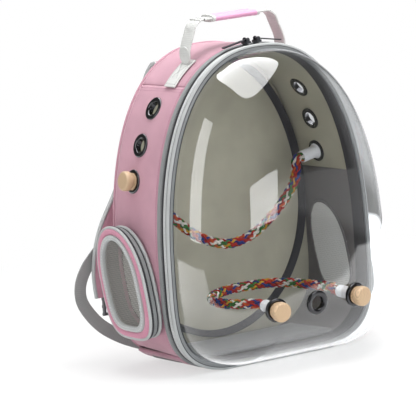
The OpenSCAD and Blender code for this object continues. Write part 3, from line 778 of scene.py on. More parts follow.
def turned_wood(name, code):
    """Sanded beech: short pale flecks along the grain and soft growth rings on the end."""
    mat, n = new_finish(name)
    grain = n.add("Attribute", result="Vector", attribute_name="grain")
    stretch = n.add("Mapping", {"Vector": grain, "Scale": (1.0, 3.2, 1.0), "Rotation": (0.0, 1.2, 0.5)})
    rings = n.waves(stretch, 95.0, 3.0, 3.0, 1.2)
    fleck = n.cloud(stretch, 700.0, 4.0, 0.7)
    tone = n.ramp(n.math("MULTIPLY_ADD", fleck, 0.55, rings), 0.1, 1.3)
    n.skin(n.tint(tone, shade(code, 0.6), shade(code, 1.16)), 0.5, n.bump(fleck, 0.3, 0.0001), {"IOR": 1.5})
    return mat


def cotton_yarn(name, code):
    """Loose cotton yarn: fibres twisted along each strand and a matt, slightly fuzzy face."""
    mat, n = new_finish(name)
    uv = n.add("UVMap", uv_map="Surface")
    turn = n.add("Mapping", {"Vector": uv, "Rotation": (0.0, 0.0, 0.6)})
    twist = n.waves(turn, WAVE / 1.1, 1.5, 2.0, 3.0)
    body = n.tint(twist, shade(code, 0.72), shade(code, 1.08))
    n.skin(body, 0.9, n.bump(twist, 0.8, 0.0004), nap(0.15, 0.08, 0.5))
    return mat


def spacer_mesh(name, code):
    """Padded spacer mesh: rows of small round cells pressed into a soft face."""
    mat, n = new_finish(name)
    axes = n.add("SeparateXYZ", {0: n.add("TexCoord", result="Object")}).node.outputs
    flat = n.add("CombineXYZ", {"X": axes["X"], "Y": axes["Z"]})
    cells = n.add("TexVoronoi", {"Vector": flat, "Scale": 330.0, "Randomness": 0.15}, "Distance",
                  feature="F1", voronoi_dimensions="2D")
    hole = n.ramp(cells, 0.15, 0.5)
    body = n.tint(hole, shade(code, 0.55), shade(code, 1.02))
    n.skin(body, 0.85, n.bump(hole, 0.8, 0.0005), nap(0.25, 0.25, 0.5))
    return mat


def clear_sheet(name, code, rough):
    """Vacuum-formed clear plastic: polished both sides, a faint waviness from the mould.
    Light passes it freely, so the cabin behind it is lit as in a room."""
    mat, n = new_finish(name)
    rays = n.add("LightPath").node.outputs
    facing = n.add("LayerWeight", {"Blend": 0.5}, "Facing")
    wave = n.cloud(n.add("TexCoord", result="Object"), 14.0, 1.0)
    # Seen edge-on the sheet is many times thicker; the base colour darkens there far beyond what the thin sheet
    # absorbs, a painted shade on the dome's rims
    colour = n.tint(n.ramp(facing, 0.62, 1.0, 0.0, 0.62), shade(code), shade(code, 0.35))
    skin = n.add("BsdfPrincipled", {
        "Base Color": colour, "Normal": n.bump(wave, 0.12, 0.002), "Roughness": rough, "IOR": 1.45,
        "Transmission Weight": 1.0})
    through = n.add("BsdfTransparent", {"Color": (0.9, 0.91, 0.92, 1)})
    both = n.either(rays["Is Shadow Ray"], skin, through)
    # Painted shade on the rims: for the camera's own rays, a grey diffuse face where the sheet is seen edge-on
    painted_rim_grey = n.add("BsdfDiffuse", {"Color": (0.55, 0.56, 0.58, 1)})
    rim = n.math("MULTIPLY", rays["Is Camera Ray"], n.ramp(facing, 0.72, 0.97, 0.0, 0.6))
    n.add("OutputMaterial", {0: n.either(rim, both, painted_rim_grey)})
    return mat


# Each finish: its maker, its name, its colour or the panel's property for it, and the maker's other values
FINISHES = {
    # Plain-woven polyester, pigment-dyed: matt, with a slightly brighter nap where light grazes it
    "canvas": (woven, "Polyester canvas", "fabric", None, 0.14, 0.3),
    "pod canvas": (woven, "Polyester canvas, pod", "pod_fabric", None, 0.14, 0.3),
    "grip canvas": (woven, "Padded canvas, grip", "grip", None, 0.12, 0.3, 0.6),
    # Cotton-faced piping over a cord: fine close weave
    "piping": (woven, "Covered piping", "piping", 0.6, 0.08, 0.2, 0.7),
    "grey piping": (woven, "Covered piping, grey", "band", 0.6, 0.08, 0.2, 0.7),
    # Nylon webbing: ribs across the band, slightly shiny
    "webbing": (woven, "Nylon webbing", "webbing", 1.3, 0.22, 0.15, 0.6, 2.2, 0.07),
    "handle webbing": (woven, "Nylon webbing, handle", "handle", 1.3, 0.2, 0.15, 0.6, 2.2, 0.06),
    "zip tape": (woven, "Woven zip tape", "tape", 0.8, 0.1, 0.15, 0.65, 1.2, 0.06),
    "binding": (woven, "Ribbed binding tape", "binding", 0.9, 0.2, 0.1, 0.7, 1.6, 0.1),
    # Coated plain lining: smooth, a soft gloss in its folds
    "lining": (woven, "Plain woven lining", "lining", 0.6, 0.05, 0.12, 0.55, None, 0.12, 22),
    "dark lining": (woven, "Fine mesh lining", "mesh_lining", 1.1, 0.3, 0.15, 0.75, None, 0.1),
    # Needled felt: fibres in all directions, so its threads are broad and faint
    "felt": (woven, "Needled felt", "mat", 1.6, 0.3, 0.35, 0.95, None, 0.14, 60),
    "net": (woven, "Polyester net yarn", "net", 0.8, 0.05, 0.2, 0.6, None, 0.05),
    "inner net": (woven, "Polyester net yarn, pale", "inner_net", 0.8, 0.02, 0.7, 0.6, None, 0.03),
    "back mesh": (spacer_mesh, "Padded spacer mesh", "back_mesh"),
    # Black nickel on steel is a near-black mirror; gunmetal on zinc is duller
    "nickel": (smooth_solid, "Black nickel plate", "eyelet", 0.16, 1.0, 0.1, 0.6),
    "gunmetal": (smooth_solid, "Gunmetal plate", "#55565a", 0.3, 1.0, 0.1),
    "steel": (smooth_solid, "Zinc-plated steel", "#b9bbbd", 0.28, 1.0, 0.08),
    # Moulded plastics: white with a soft shine, and dark satin
    "ferrule": (smooth_solid, "Moulded polypropylene", "ferrule", 0.28, 0.0, 0.02),
    "buckle": (smooth_solid, "Moulded acetal", "#47474b", 0.38, 0.0, 0.05),
    "zip teeth": (smooth_solid, "Nylon zip coil", "zip", 0.42, 0.0, 0.15),
    "beech": (turned_wood, "Sanded beech", "wood"),
    "pink thread": (smooth_solid, "Polyester thread, rose", "#a8748b", 0.7),
    "grey thread": (smooth_solid, "Polyester thread, grey", "#8f9393", 0.7),
    "pale thread": (smooth_solid, "Polyester thread, pale", "#d9dbdb", 0.7),
    "dome": (clear_sheet, "Vacuum-formed clear plastic", "dome", 0.015),
    # The rope's core is dark as painted shade in the gaps between its yarns
    "shade core yarn": (cotton_yarn, "Cotton yarn, core", "#4a2320"),
    "red yarn": (cotton_yarn, "Cotton yarn, red", "#a51a0e"),
    "yellow yarn": (cotton_yarn, "Cotton yarn, yellow", "#c9921a"),
    "green yarn": (cotton_yarn, "Cotton yarn, green", "#2f6a26"),
    "blue yarn": (cotton_yarn, "Cotton yarn, blue", "#262f78"),
    "white yarn": (cotton_yarn, "Cotton yarn, white", "#dfd9cf"),
    "orange yarn": (cotton_yarn, "Cotton yarn, orange", "#c4501a"),
}
MADE = {}


def finish(name):
    """The named finish, made once."""
    if name not in MADE:
        maker, label, colour, *values = FINISHES[name]
        MADE[name] = maker(label, getattr(bpy.context.scene.carrier_colours, colour, colour), *values)
    return MADE[name]


# ---- values a user would change ---------------------------------------------


def size_property(name, what, default, low, high):
    return bpy.props.FloatProperty(
        name=name, description=f"{what}, in millimetres", default=default, min=low, max=high)


class CarrierSizes(bpy.types.PropertyGroup):
    thread: size_property("Canvas thread", "Spacing of the canvas threads", 1.1, 0.3, 3)
    stitch: size_property("Stitch spacing", "Distance between stitches", 3.6, 2, 8)
    tooth: size_property("Zip tooth spacing", "Distance between zip teeth", 1.9, 1.2, 4)
    net_loop: size_property("Net loop", "Distance between the net's loops", 2.7, 1.5, 6)
    braid_turn: size_property("Rope lay", "Length of one full turn of a rope strand", 58, 15, 90)
    floor: bpy.props.FloatProperty(
        name="Floor", description="Width of the studio floor", default=30, min=5, unit="LENGTH")


def colour_property(name, code, what):
    return bpy.props.StringProperty(name=name, description=f"sRGB hex colour of {what}", default=code)


class CarrierColours(bpy.types.PropertyGroup):
    fabric: colour_property("Shell fabric", "#ca98a8", "the shell's canvas")
    pod_fabric: colour_property("Pod fabric", "#cf8ea4", "the side pods' rims")
    grip: colour_property("Grip", "#e8a8cb", "the padded grip")
    piping: colour_property("Piping", "#b9bcbc", "the piping of the dome and the pods")
    band: colour_property("Ring band", "#8d9091", "the wide bands of the ring")
    webbing: colour_property("Webbing", "#9b9d9c", "the strap webbing")
    handle: colour_property("Handle webbing", "#dadbd8", "the top handle's webbing")
    tape: colour_property("Zip tape", "#cfd1d1", "the zip tapes")
    binding: colour_property("Binding", "#323136", "the binding inside the ring and the cabin")
    lining: colour_property("Lining", "#c4bfaa", "the cabin's upper lining")
    mesh_lining: colour_property("Mesh lining", "#767271", "the cabin's lower lining")
    mat: colour_property("Floor mat", "#848483", "the loose mat")
    net: colour_property("Net", "#a5a29d", "the pods' net")
    inner_net: colour_property("Inner net", "#efeeea", "the net over the pods' openings")
    back_mesh: colour_property("Back mesh", "#c9a3b0", "the back cushion's spacer mesh")
    eyelet: colour_property("Eyelets", "#2a2a2d", "the eyelets' plating")
    ferrule: colour_property("Ferrules", "#eeeef0", "the perches' end caps")
    zip: colour_property("Zip teeth", "#3f4043", "the zip teeth")
    wood: colour_property("Knobs", "#c3a684", "the perch knobs")
    dome: colour_property("Dome", "#f1f3f5", "the clear dome")


# ---- shell ------------------------------------------------------------------


def wall_sheet(name, a, b, o, cloth, step, fullness=0.0, seed=0.0, y1=BACK_Y):
    """Open cloth wall along part of the outline. A full one is pinched at its seams and swells in its middle."""
    ts = turns(a, b, max(4, round((math.dist(egg(a, o), egg(b, o)) * 1.15) / step)))
    count = round((y1 - RING_D) / step)
    along = running([Vector((*egg(t, o), 0)) for t in ts])
    rows = []
    for t, s in zip(ts, along):
        n = outline_normal(t, o)
        line = []
        for j in range(count + 1):
            y = RING_D + (y1 - RING_D) * j / count
            p = egg_at(t, o + taper(y), y)
            if fullness:
                edge = min(s, along[-1] - s, y - RING_D, y1 - y)
                lift = fullness * (1 - math.exp(-edge / 9)) * (
                    0.45 + 0.9 * ripple(p, 62, seed) + 0.35 * ripple(p, 26, seed + 4))
                p = p + n * (lift - 0.5 * math.exp(-edge / 1.6)) / 1000
            line.append(p)
        rows.append(line)
    obj = loft(name, rows, cloth, solid=False, angle=60)
    face_away(obj, at(0, 60, WIDE_Z))
    return obj


def wall_path(t, y0, y1, lift):
    """A line from front to back on the shell's canvas."""
    n = outline_normal(t, WALL_IN)
    count = max(2, round((y1 - y0) / 3))
    ys = [y0 + (y1 - y0) * j / count for j in range(count + 1)]
    return [egg_at(t, WALL_IN + taper(y), y) + n * lift / 1000 for y in ys]


class CARRIER_OT_shell(bpy.types.Operator):
    """Fabric shell: side, top, base and back panels with their seams"""

    bl_idname = "carrier.shell"
    bl_label = "Fabric shell"

    def execute(self, context):
        for (side, name), a, b in zip(SIDES, (180 - SEAM_TURN, -BASE_TURN), (180 + BASE_TURN, SEAM_TURN)):
            sheet = wall_sheet(f"{name}_side_cover", a, b, WALL_IN, "canvas", 2.6, 1.0, side * 5.0)
            cut_holes(sheet, side_holes(side, CANVAS_HOLE_R))
            cut_pod_opening(sheet, side)
            settle(thicken(sheet, WALL_T), "shell", "pink_canvas", f"{name}_panel")
        top = wall_sheet("top_cover", SEAM_TURN, 180 - SEAM_TURN, WALL_IN, "canvas", 2.6, 0.9, 2.0)
        settle(thicken(top, WALL_T), "shell", "pink_canvas", "top_panel")
        base = wall_sheet("base_cover", 180 + BASE_TURN, 360 - BASE_TURN, 0.02, "canvas", 4.0)
        for v in base.data.vertices:
            v.co.x *= 0.992
            v.co.z = max(v.co.z - taper(v.co.y * 1000 - FRONT_Y) / 1000 * 0.96, 0.00002)
        settle(thicken(base, 4), "shell", "pink_canvas", "bottom_panel")

        seams = []
        for t in (SEAM_TURN, 180 - SEAM_TURN):
            for gap in (3.2, 6.4):
                turn = t - gap / 2.55 if t < 90 else t + gap / 2.55
                path = wall_path(turn, RING_D + 1, BACK_Y - 2, 0.35)
                seams.append(stitches(f"seam_{t}_{gap}", path, "pink thread", False, 2.7, 0.45))
        for y in (RING_D + 2.6, BACK_Y - 5.5):
            path = [egg_at(t, WALL_IN + taper(y), y) + outline_normal(t, WALL_IN) * 0.0002
                    for t in turns(-47, 227, 260)]
            seams.append(stitches(f"edge_{y}", path, "pink thread", False, 2.7, 0.45))
        settle(join("shell_seams", seams), "shell", "pink_canvas")

        # Back: a flat padded panel, its edge bound with the shell's own canvas
        plate = [[egg_at(t, o, y) for t in loop_turns(200)]
                 for o, y in ((6.2, 114.8), (6.2, 117.2), (7.4, 117.9), (40, 117.95))]
        back = loft("back_cover", plate, "canvas", ring=True, caps=True, angle=50)
        settle(back, "shell", "pink_canvas", "back_panel")
        welt = [egg_at(t, 6.6, 115.6) for t in loop_turns(220)]
        settle(sweep("back_edge_welt", welt, circle(1.9), "canvas", Y, True), "shell", "pink_canvas")
        return {"FINISHED"}


BACK_EDGE = [egg(t, BACK_INSET) for t in range(0, 360, 3)]


def back_height(x, z):
    """Crown of the back cushion in millimetres, with its sewn channels."""
    best = min(math.hypot(x - ex, z - ez) for ex, ez in BACK_EDGE)
    fade = min(1, best / 12)
    h = 8 * (1 - math.exp(-best / 7)) * (1 - 0.35 * math.exp(-best / 2.5))
    for c in (-34, 34):
        h -= 3.4 * math.exp(-((x - c - 0.06 * c * (z - 180) / 100) / 4.2) ** 2) * fade
    for c in (120, 232):
        h -= 3.0 * math.exp(-((z - c) / 4.2) ** 2) * fade
    return max(h, 0.15)


class CARRIER_OT_back(bpy.types.Operator):
    """Back cushion of spacer mesh, sewn into channels"""

    bl_idname = "carrier.back"
    bl_label = "Back cushion"

    def execute(self, context):
        rows = []
        for o in [BACK_INSET, 38.6, 39.6, 41, 43, 46, 50] + [54 + 5 * i for i in range(17)]:
            f = (o - BACK_INSET) / (BACK_MIDDLE - BACK_INSET)
            line = []
            for t in loop_turns(150):
                x, z = egg(t, BACK_INSET)
                x, z = x * (1 - f), 165 + (z - 165) * (1 - f)
                line.append(at(x, BODY_D + 0.1 + (0 if o == BACK_INSET else back_height(x, z)), z))
            rows.append(line)
        pad = loft("back_cushion", rows, "back mesh", ring=True, caps=True, angle=70)
        across = len(rows[0])
        puff(pad, list(range(3 * across)) + list(range((len(rows) - 1) * across, len(rows) * across)), 1.0)
        settle(pad, "shell", "back_mesh", "back_pad")
        edge = [egg_at(t, BACK_INSET, BODY_D + 1.0) for t in loop_turns(200)]
        settle(sweep("back_cushion_piping", edge, circle(1.2, 10), "binding", Y, True), "shell", "dark_binding")
        return {"FINISHED"}


# ---- cabin ------------------------------------------------------------------


def trim(t, o):
    """The binding's outline on the cabin's back wall."""
    s, c = math.sin(math.radians(t)), math.cos(math.radians(t))
    reach = BODY_H - WIDE_Z - 58 - o if s >= 0 else WIDE_Z + 30 - o
    return (BODY_W / 2 - 12.5 - o) * c, WIDE_Z + 44 + reach * s


class CARRIER_OT_cabin(bpy.types.Operator):
    """Cabin lining, its bindings, the inner nets and the loose felt mat"""

    bl_idname = "carrier.cabin"
    bl_label = "Cabin lining and mat"

    def execute(self, context):
        o = CABIN_O - LINING_T
        first, last = LINING_TURN, 180 - LINING_TURN
        for name, a, b, cloth, slot, node in (
            ("upper_lining_cloth", first, last, "lining", "khaki_lining", "upper_lining"),
            ("lower_lining_cloth", last, 360 + first, "dark lining", "dark_mesh_lining", "lower_lining"),
        ):
            sheet = wall_sheet(name, a, b, o, cloth, 3.0, y1=BACK_Y - 0.1)
            for v in sheet.data.vertices:
                if v.co.z > 0.02:
                    inward = Vector((v.co.x, 0, v.co.z - 0.15)).normalized()
                    v.co -= inward * (0.0009 + 0.0009 * ripple(v.co, 48, 6.0))
            for side, _ in SIDES:
                if node == "upper_lining":
                    cut_holes(sheet, side_holes(side, LINING_HOLE_R))
                cut_pod_opening(sheet, side)
            settle(thicken(sheet, LINING_T), "shell", slot, node)

        # Net over each pod's opening, sewn on the cabin's side of the lining
        ways = [360 * k / 120 for k in range(120)]
        poly = [pod_point(t, POD_EDGE - 1) for t in ways]
        parts = []
        for side, name in SIDES:

            def on_wall(y, z):
                return at(side * inner_half(z, y), y, z)

            hem = [on_wall(*pod_point(t, POD_EDGE - 1.6)) for t in ways]
            parts += [net(f"{name}_inner_loops", poly, on_wall, INNER_THREAD_R, "inner net"),
                      sweep(f"{name}_inner_hem", hem, rounded(2.4, 4.4, 0.8), "dark lining", X, True)]
        settle(join("inner_net_set", parts), "shell", "pod_net", "inner_nets")

        back = [[egg_at(t, inset, y) for t in loop_turns(160)]
                for inset, y in ((9.6, 114.5), (9.6, 113.8), (12, 113.3), (30, 112.9), (60, 112.4))]
        wall = loft("back_lining_cloth", back, "lining", ring=True, caps=True, angle=60)
        settle(wall, "shell", "khaki_lining", "back_lining")

        section = [(0, 113.0), (0, 108.0), (1.2, 106.6), (6.5, 109.2), (8.2, 111.4), (8.2, 113.0)]
        rows = [[at(trim(t, inset)[0], y, max(trim(t, inset)[1], 8)) for inset, y in section]
                for t in even(trim, 0, 360, 180, 3)[:-1]]
        band = loft("back_binding", rows, "binding", ring=True, closed=True, angle=40)
        settle(band, "shell", "dark_binding", "lining_trim")

        seams = []
        for t in (first, last):
            n = outline_normal(t, o)
            ys = [RING_D + 1 + (BACK_Y - RING_D - 3) * j / 29 for j in range(30)]
            path = [egg_at(t, CABIN_O + taper(y), y) - n * 0.0012 for y in ys]
            seams.append(sweep(f"lining_seam_{t}", path, rounded(1.6, 7, 0.7), "dark lining", Z))
        settle(join("lining_seams", seams), "shell", "dark_mesh_lining")

        # Loose mat: rounded edge, slightly proud in the middle
        top, low = 13.9, 9.2
        half = max(egg(t, 9.6)[0] * 0.985 for t in turns(180 + BASE_TURN, 360 - BASE_TURN, 60))
        loop = [(half * 0.995 * x, MAT_Y + MAT_HALF_D * y) for x, y in oval(96, 0.25, 0.25)]
        rows = []
        for inset, z in ((1.6, low), (0.3, low + 0.9), (0, (low + top) / 2), (0.4, top - 1.0), (1.8, top),
                         (14, top + 0.2), (30, top + 0.1)):
            rows.append([at(x * (1 - inset / half), MAT_Y + (y - MAT_Y) * (1 - inset / MAT_HALF_D),
                            z + (0.3 * ripple(at(x, y, z), 40, 9) if z > top - 0.5 else 0)) for x, y in loop])
        mat = loft("felt_mat", rows, "felt", ring=True, caps=True, angle=50)
        settle(mat, "shell", "floor_mat", "floor_mat")
        return {"FINISHED"}


# ---- zip ring ---------------------------------------------------------------


RING_TURNS = loop_turns(300)


def ring_loft(name, section, cloth):
    """Closed band round the outline from (offset, depth) pairs."""
    rows = [[egg_at(t, o, y) for o, y in section] for t in RING_TURNS]
    return loft(name, rows, cloth, ring=True, closed=True, angle=40)


def ring_path(o, y, lift=0.0):
    return [egg_at(t, o, y) + outline_normal(t, o) * lift / 1000 for t in RING_TURNS]


def arc(o0, y0, y1, rise, k=10):
    """Rounded top of a piping, from one side of its cord to the other."""
    r = (y1 - y0) / 2
    return [(o0 - rise * math.sin(math.pi * i / k), y0 + r - r * math.cos(math.pi * i / k)) for i in range(k + 1)]


# Each band of the ring: its section, finish, body, slot and the frame node that it replaces
RING_BANDS = {
    "body_piping": (arc(2.1, 15, 21, 2.05) + [(2.4, 21.3), (2.0, 22), (2.2, 23), (7, 23), (7, 15)],
                    "grey piping", "shell", "grey_piping", "body_rim"),
    "dome_piping": (arc(2.0, -1, 3.6, 1.9) + [(2.3, 3.9), (1.9, 4.3), (2.1, 4.6), (7, 4.6), (7, -1)],
                    "piping", "front_door", "grey_piping", "door_rim"),
    "dome_face_band": ([(3.7, -1.45), (6.9, -1.45), (7.0, -0.9), (3.6, -0.9)],
                       "grey piping", "front_door", "grey_piping"),
    "dome_face_seam": ([(2.9, -1.15), (3.6, -1.2), (3.6, -0.9), (2.9, -0.9)],
                       "binding", "front_door", "dark_binding"),
    "door_zip_tape": ([(2.0, 6.0), (1.7, 6.5), (1.7, 9.9), (2.1, 10.5), (7, 10.5), (7, 4.6), (2.9, 4.6), (2.7, 5.8)],
                      "zip tape", "front_door", "zip_tape", "door_tape"),
    # A dark strip in the binding's finish: a painted shadow along the seam between the dome's piping and the zip tape
    "door_zip_shadow_tape": ([(2.5, 4.62), (2.2, 5.2), (2.3, 5.9), (2.9, 6.0), (2.9, 4.62)],
                             "binding", "front_door", "dark_binding"),
    "body_zip_tape": ([(2.0, 14.3), (2.1, 15), (7, 15), (7, 14.3)], "zip tape", "shell", "zip_tape", "body_tape"),
    "body_ring_binding": ([(7.05, 12.75), (8.2, 12.9), (8.5, 17.5), (8.2, 23.4), (7.05, 23.6)],
                          "binding", "shell", "dark_binding", "body_binding"),
    "door_ring_binding": ([(8.75, -0.6), (9.6, -0.4), (9.7, 6), (9.4, 12.1), (7.1, 12.2), (7.1, 5.3), (8.75, 5.0)],
                          "binding", "front_door", "dark_binding", "door_binding"),
}


class CARRIER_OT_ring(bpy.types.Operator):
    """Zip ring: two pipings, two tapes with their teeth, and the binding inside"""

    bl_idname = "carrier.ring"
    bl_label = "Zip ring"

    def execute(self, context):
        for name, (section, cloth, body, *places) in RING_BANDS.items():
            settle(ring_loft(name, section, cloth), body, *places)
        # The teeth sit on a dark tape edge, a row on each side of the parting line
        for name, y, y0, y1, body, node in (
            ("body_zip_teeth", 13.2, 12.75, 14.3, "shell", "body_zip"),
            ("door_zip_teeth", 11.8, 10.5, 12.25, "front_door", "door_zip"),
        ):
            bed = ring_loft(f"{name}_bed", [(2.2, y0), (2.2, y1), (6, y1), (6, y0)], "binding")
            line = teeth(f"{name}_row", ring_path(2.0, y), (1.5, 1.5, 1.15))
            settle(join(name, [bed, line]), body, "zip_teeth", node)
        for name, body, lines in (
            ("body_piping_stitches", "shell", ((2.15, 21.2, 0.1, 0.4),)),
            ("door_piping_stitches", "front_door", ((2.05, 4.2, 0.1, 0.35), (1.7, 7.4, 0.05, 0.35))),
        ):
            rows = [stitches(f"{name}_{y}", ring_path(o, y, lift), "grey thread", True, 2.6, width)
                    for o, y, lift, width in lines]
            settle(join(name, rows), body, "grey_piping")
        return {"FINISHED"}


class CARRIER_OT_dome(bpy.types.Operator):
    """Clear dome, with its eyelet holes"""

    bl_idname = "carrier.dome"
    bl_label = "Clear dome"

    def execute(self, context):
        rows = [[egg_at(t, DOME_O, y) for t in RING_TURNS] for y in (4.5, 3.0, 1.5)]
        for u in even(dome_rib, 0, 90, 70)[:-1]:
            rows.append([at(*dome_point(t, u)) for t in RING_TURNS])
        rows.append([at(*dome_rib(90)) for _ in RING_TURNS])
        dome = loft("clear_dome_sheet", rows, "dome", ring=True, angle=80, solid=False)
        face_away(dome, at(0, 10, DOME_Z))
        cut_holes(dome, [(*front_seat(i), DOME_HOLE_R) for i in (-1, 0, 1)])
        settle(thicken(dome, DOME_WALL), "front_door", "clear_dome", "clear_dome")
        return {"FINISHED"}


# ---- eyelets and perches ----------------------------------------------------


def eyelet_profile(stack):
    inner, r, f = -stack - WASHER_T, EYELET_R, FLANGE_R
    return [
        (r, inner + 0.2), (r + 0.2, inner), (f - 1.3, inner), (f - 1, inner + 0.3), (f - 1, -stack - 0.05),
        (9.2, -stack), (9.2, 0.15), (f - 0.3, 0.15), (f, 0.45), (f, 0.95), (f - 0.35, 1.55), (f - 1.2, 2.0),
        (f - 2.4, 2.2), (f - 3.6, 2.15), (r + 1.3, 1.85), (r + 0.5, 1.35), (r + 0.1, 0.8), (r, 0.1), (r, inner + 0.2),
    ]


def knob_profile():
    """A foot on the eyelet, a narrow neck and a broad grip."""
    s = 2.35
    points = [
        (0.01, 0), (9.3, 0), (9.5, 0.2), (9.5, 0.8), (7.9, 1.7), (7.36, 2.6), (7.9, 3.5), (10.2, 4.3), (11.3, 5.4),
        (11.5, 6.6), (11.5, 10.3), (11.2, 11.6), (10.4, 12.6), (8.8, 13.2), (0.01, 13.5),
    ]
    return [(p.x, p.y) for p in smooth_curve([(r, s + h, 0) for r, h in points], 3)]


def ferrule_profile(stack):
    top = -stack - WASHER_T - 0.05
    end = top - FERRULE_L
    return [
        (3.05, top - 12.4), (3.05, top - 0.1), (3.2, top), (8.9, top), (9.2, top - 0.3), (9.2, top - 0.9),
        (8.9, top - 1.2), (7.5, top - 1.3), (7.2, top - 1.8), (7.2, end + 0.8), (6.9, end), (6.3, end),
        (6.1, end + 0.3), (6.1, end + 4), (3.05, end + 4), (3.05, top - 12.4),
    ]


def rope_path(seats, stack, route):
    """From one ferrule's socket to the other's, straight in each socket."""
    socket = -(stack + WASHER_T + 0.05 + FERRULE_L - 4)
    (start, end) = ([p + n * (socket - back) for back in (0.3, 3, 6, 9, 12)] for p, n in seats)
    middle = smooth_curve([start[4]] + [Vector(q) for q in route] + [end[4]], 8)
    return respace([at(*p) for p in start[:4] + middle + end[3::-1]], 0.0016)


def braid(name, path, lay):
    """Round braid of twelve yarns over and under each other, about a core."""
    yarns = "red yellow green red white blue orange red red white blue green".split()
    # The core's dark colour is painted shade showing in the gaps between the yarns
    parts = [sweep(f"{name}_core", path, circle(CORE_R, 10), "shade core yarn")]
    section = [(x * 1.15, y * 0.85) for x, y in circle(YARN_R, 8)]
    for k, colour in enumerate(yarns):
        sign = 1 if k % 2 == 0 else -1
        start = 2 * math.pi * (k // 2) / 6
        line = []
        for p, (d, s, t), run_at in zip(path, frames(path), running(path)):
            w = 2 * math.pi * run_at * 1000 / lay
            q = start + sign * w
            r = (BRAID_R + sign * BRAID_WAVE * math.cos(6 * w)) / 1000
            line.append(p + (s * math.cos(q) + t * math.sin(q)) * r)
        parts.append(sweep(f"{name}_yarn_{k}", line, section, f"{colour} yarn"))
    return join(name, parts)


class CARRIER_OT_eyelets(bpy.types.Operator):
    """Black eyelets of the sides and of the dome"""

    bl_idname = "carrier.eyelets"
    bl_label = "Eyelets"

    def execute(self, context):
        for name, body, stack, seats in (
            ("left", "shell", SIDE_STACK, [side_seat(-1, k) for k in range(3)]),
            ("right", "shell", SIDE_STACK, [side_seat(1, k) for k in range(3)]),
            ("front", "front_door", DOME_STACK, [front_seat(i) for i in (-1, 0, 1)]),
        ):
            rings = [lathe(f"{name}_eyelet_{k}", eyelet_profile(stack), *seat, "nickel")
                     for k, seat in enumerate(seats)]
            settle(join(f"{name}_eyelet_set", rings), body, "black_nickel", f"{name}_eyelets")
        return {"FINISHED"}


class CARRIER_OT_perches(bpy.types.Operator):
    """Beech knobs, studs, ferrules and the two braided rope perches"""

    bl_idname = "carrier.perches"
    bl_label = "Rope perches"

    def execute(self, context):
        for where, rope, seats, stack, body, route in (
            ("upper", "upper", (side_seat(-1, 0), side_seat(1, 0)), SIDE_STACK, "shell", UPPER_ROUTE),
            ("front", "lower", (front_seat(-1), front_seat(1)), DOME_STACK, "front_door", LOWER_ROUTE),
        ):
            for (_, side), (seat, way) in zip(SIDES, seats):
                name = f"{where}_{side}"
                knob = lathe(f"{name}_turned_knob", knob_profile(), seat, way, "beech", 64, 50)
                settle(knob, f"{name}_perch_screw", "beech", f"{name}_knob")
                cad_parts[f"{name}_stud"].data.materials[0] = finish("steel")
                cap = lathe(f"{name}_end_cap", ferrule_profile(stack), seat, way, "ferrule", 56)
                settle(cap, body, "white_ferrule", f"{name}_ferrule")
            lay = context.scene.carrier_sizes.braid_turn
            line = braid(f"{rope}_braided_rope", rope_path(seats, stack, route), lay)
            settle(line, body, "rope", f"{rope}_rope")
        return {"FINISHED"}


# ---- side pods --------------------------------------------------------------


POD_TURNS = even(pod_point, 0, 360, 150, 6)[:-1]


def pod_at(side, x, t, o):
    """A point of a pod. An X of None lies inside the shell's flank, between its cover and its lining."""
    y, z = pod_point(t, o)
    return at(side * (inner_half(z, y) + 2.0 if x is None else x), y, z)


def pod_path(side, x, o):
    return [pod_at(side, x, t, o) for t in POD_TURNS]


def pod_loft(name, side, section, cloth):
    """A ring round the pod from (inset, X) pairs."""
    rows = [[pod_at(side, x, t, o) for o, x in section] for t in POD_TURNS]
    return loft(name, rows, cloth, ring=True, closed=True, angle=45)


def pod_cord(name, side, x, o, radius, cloth, sides=12):
    return sweep(name, pod_path(side, x, o), circle(radius, sides), cloth, X, True)


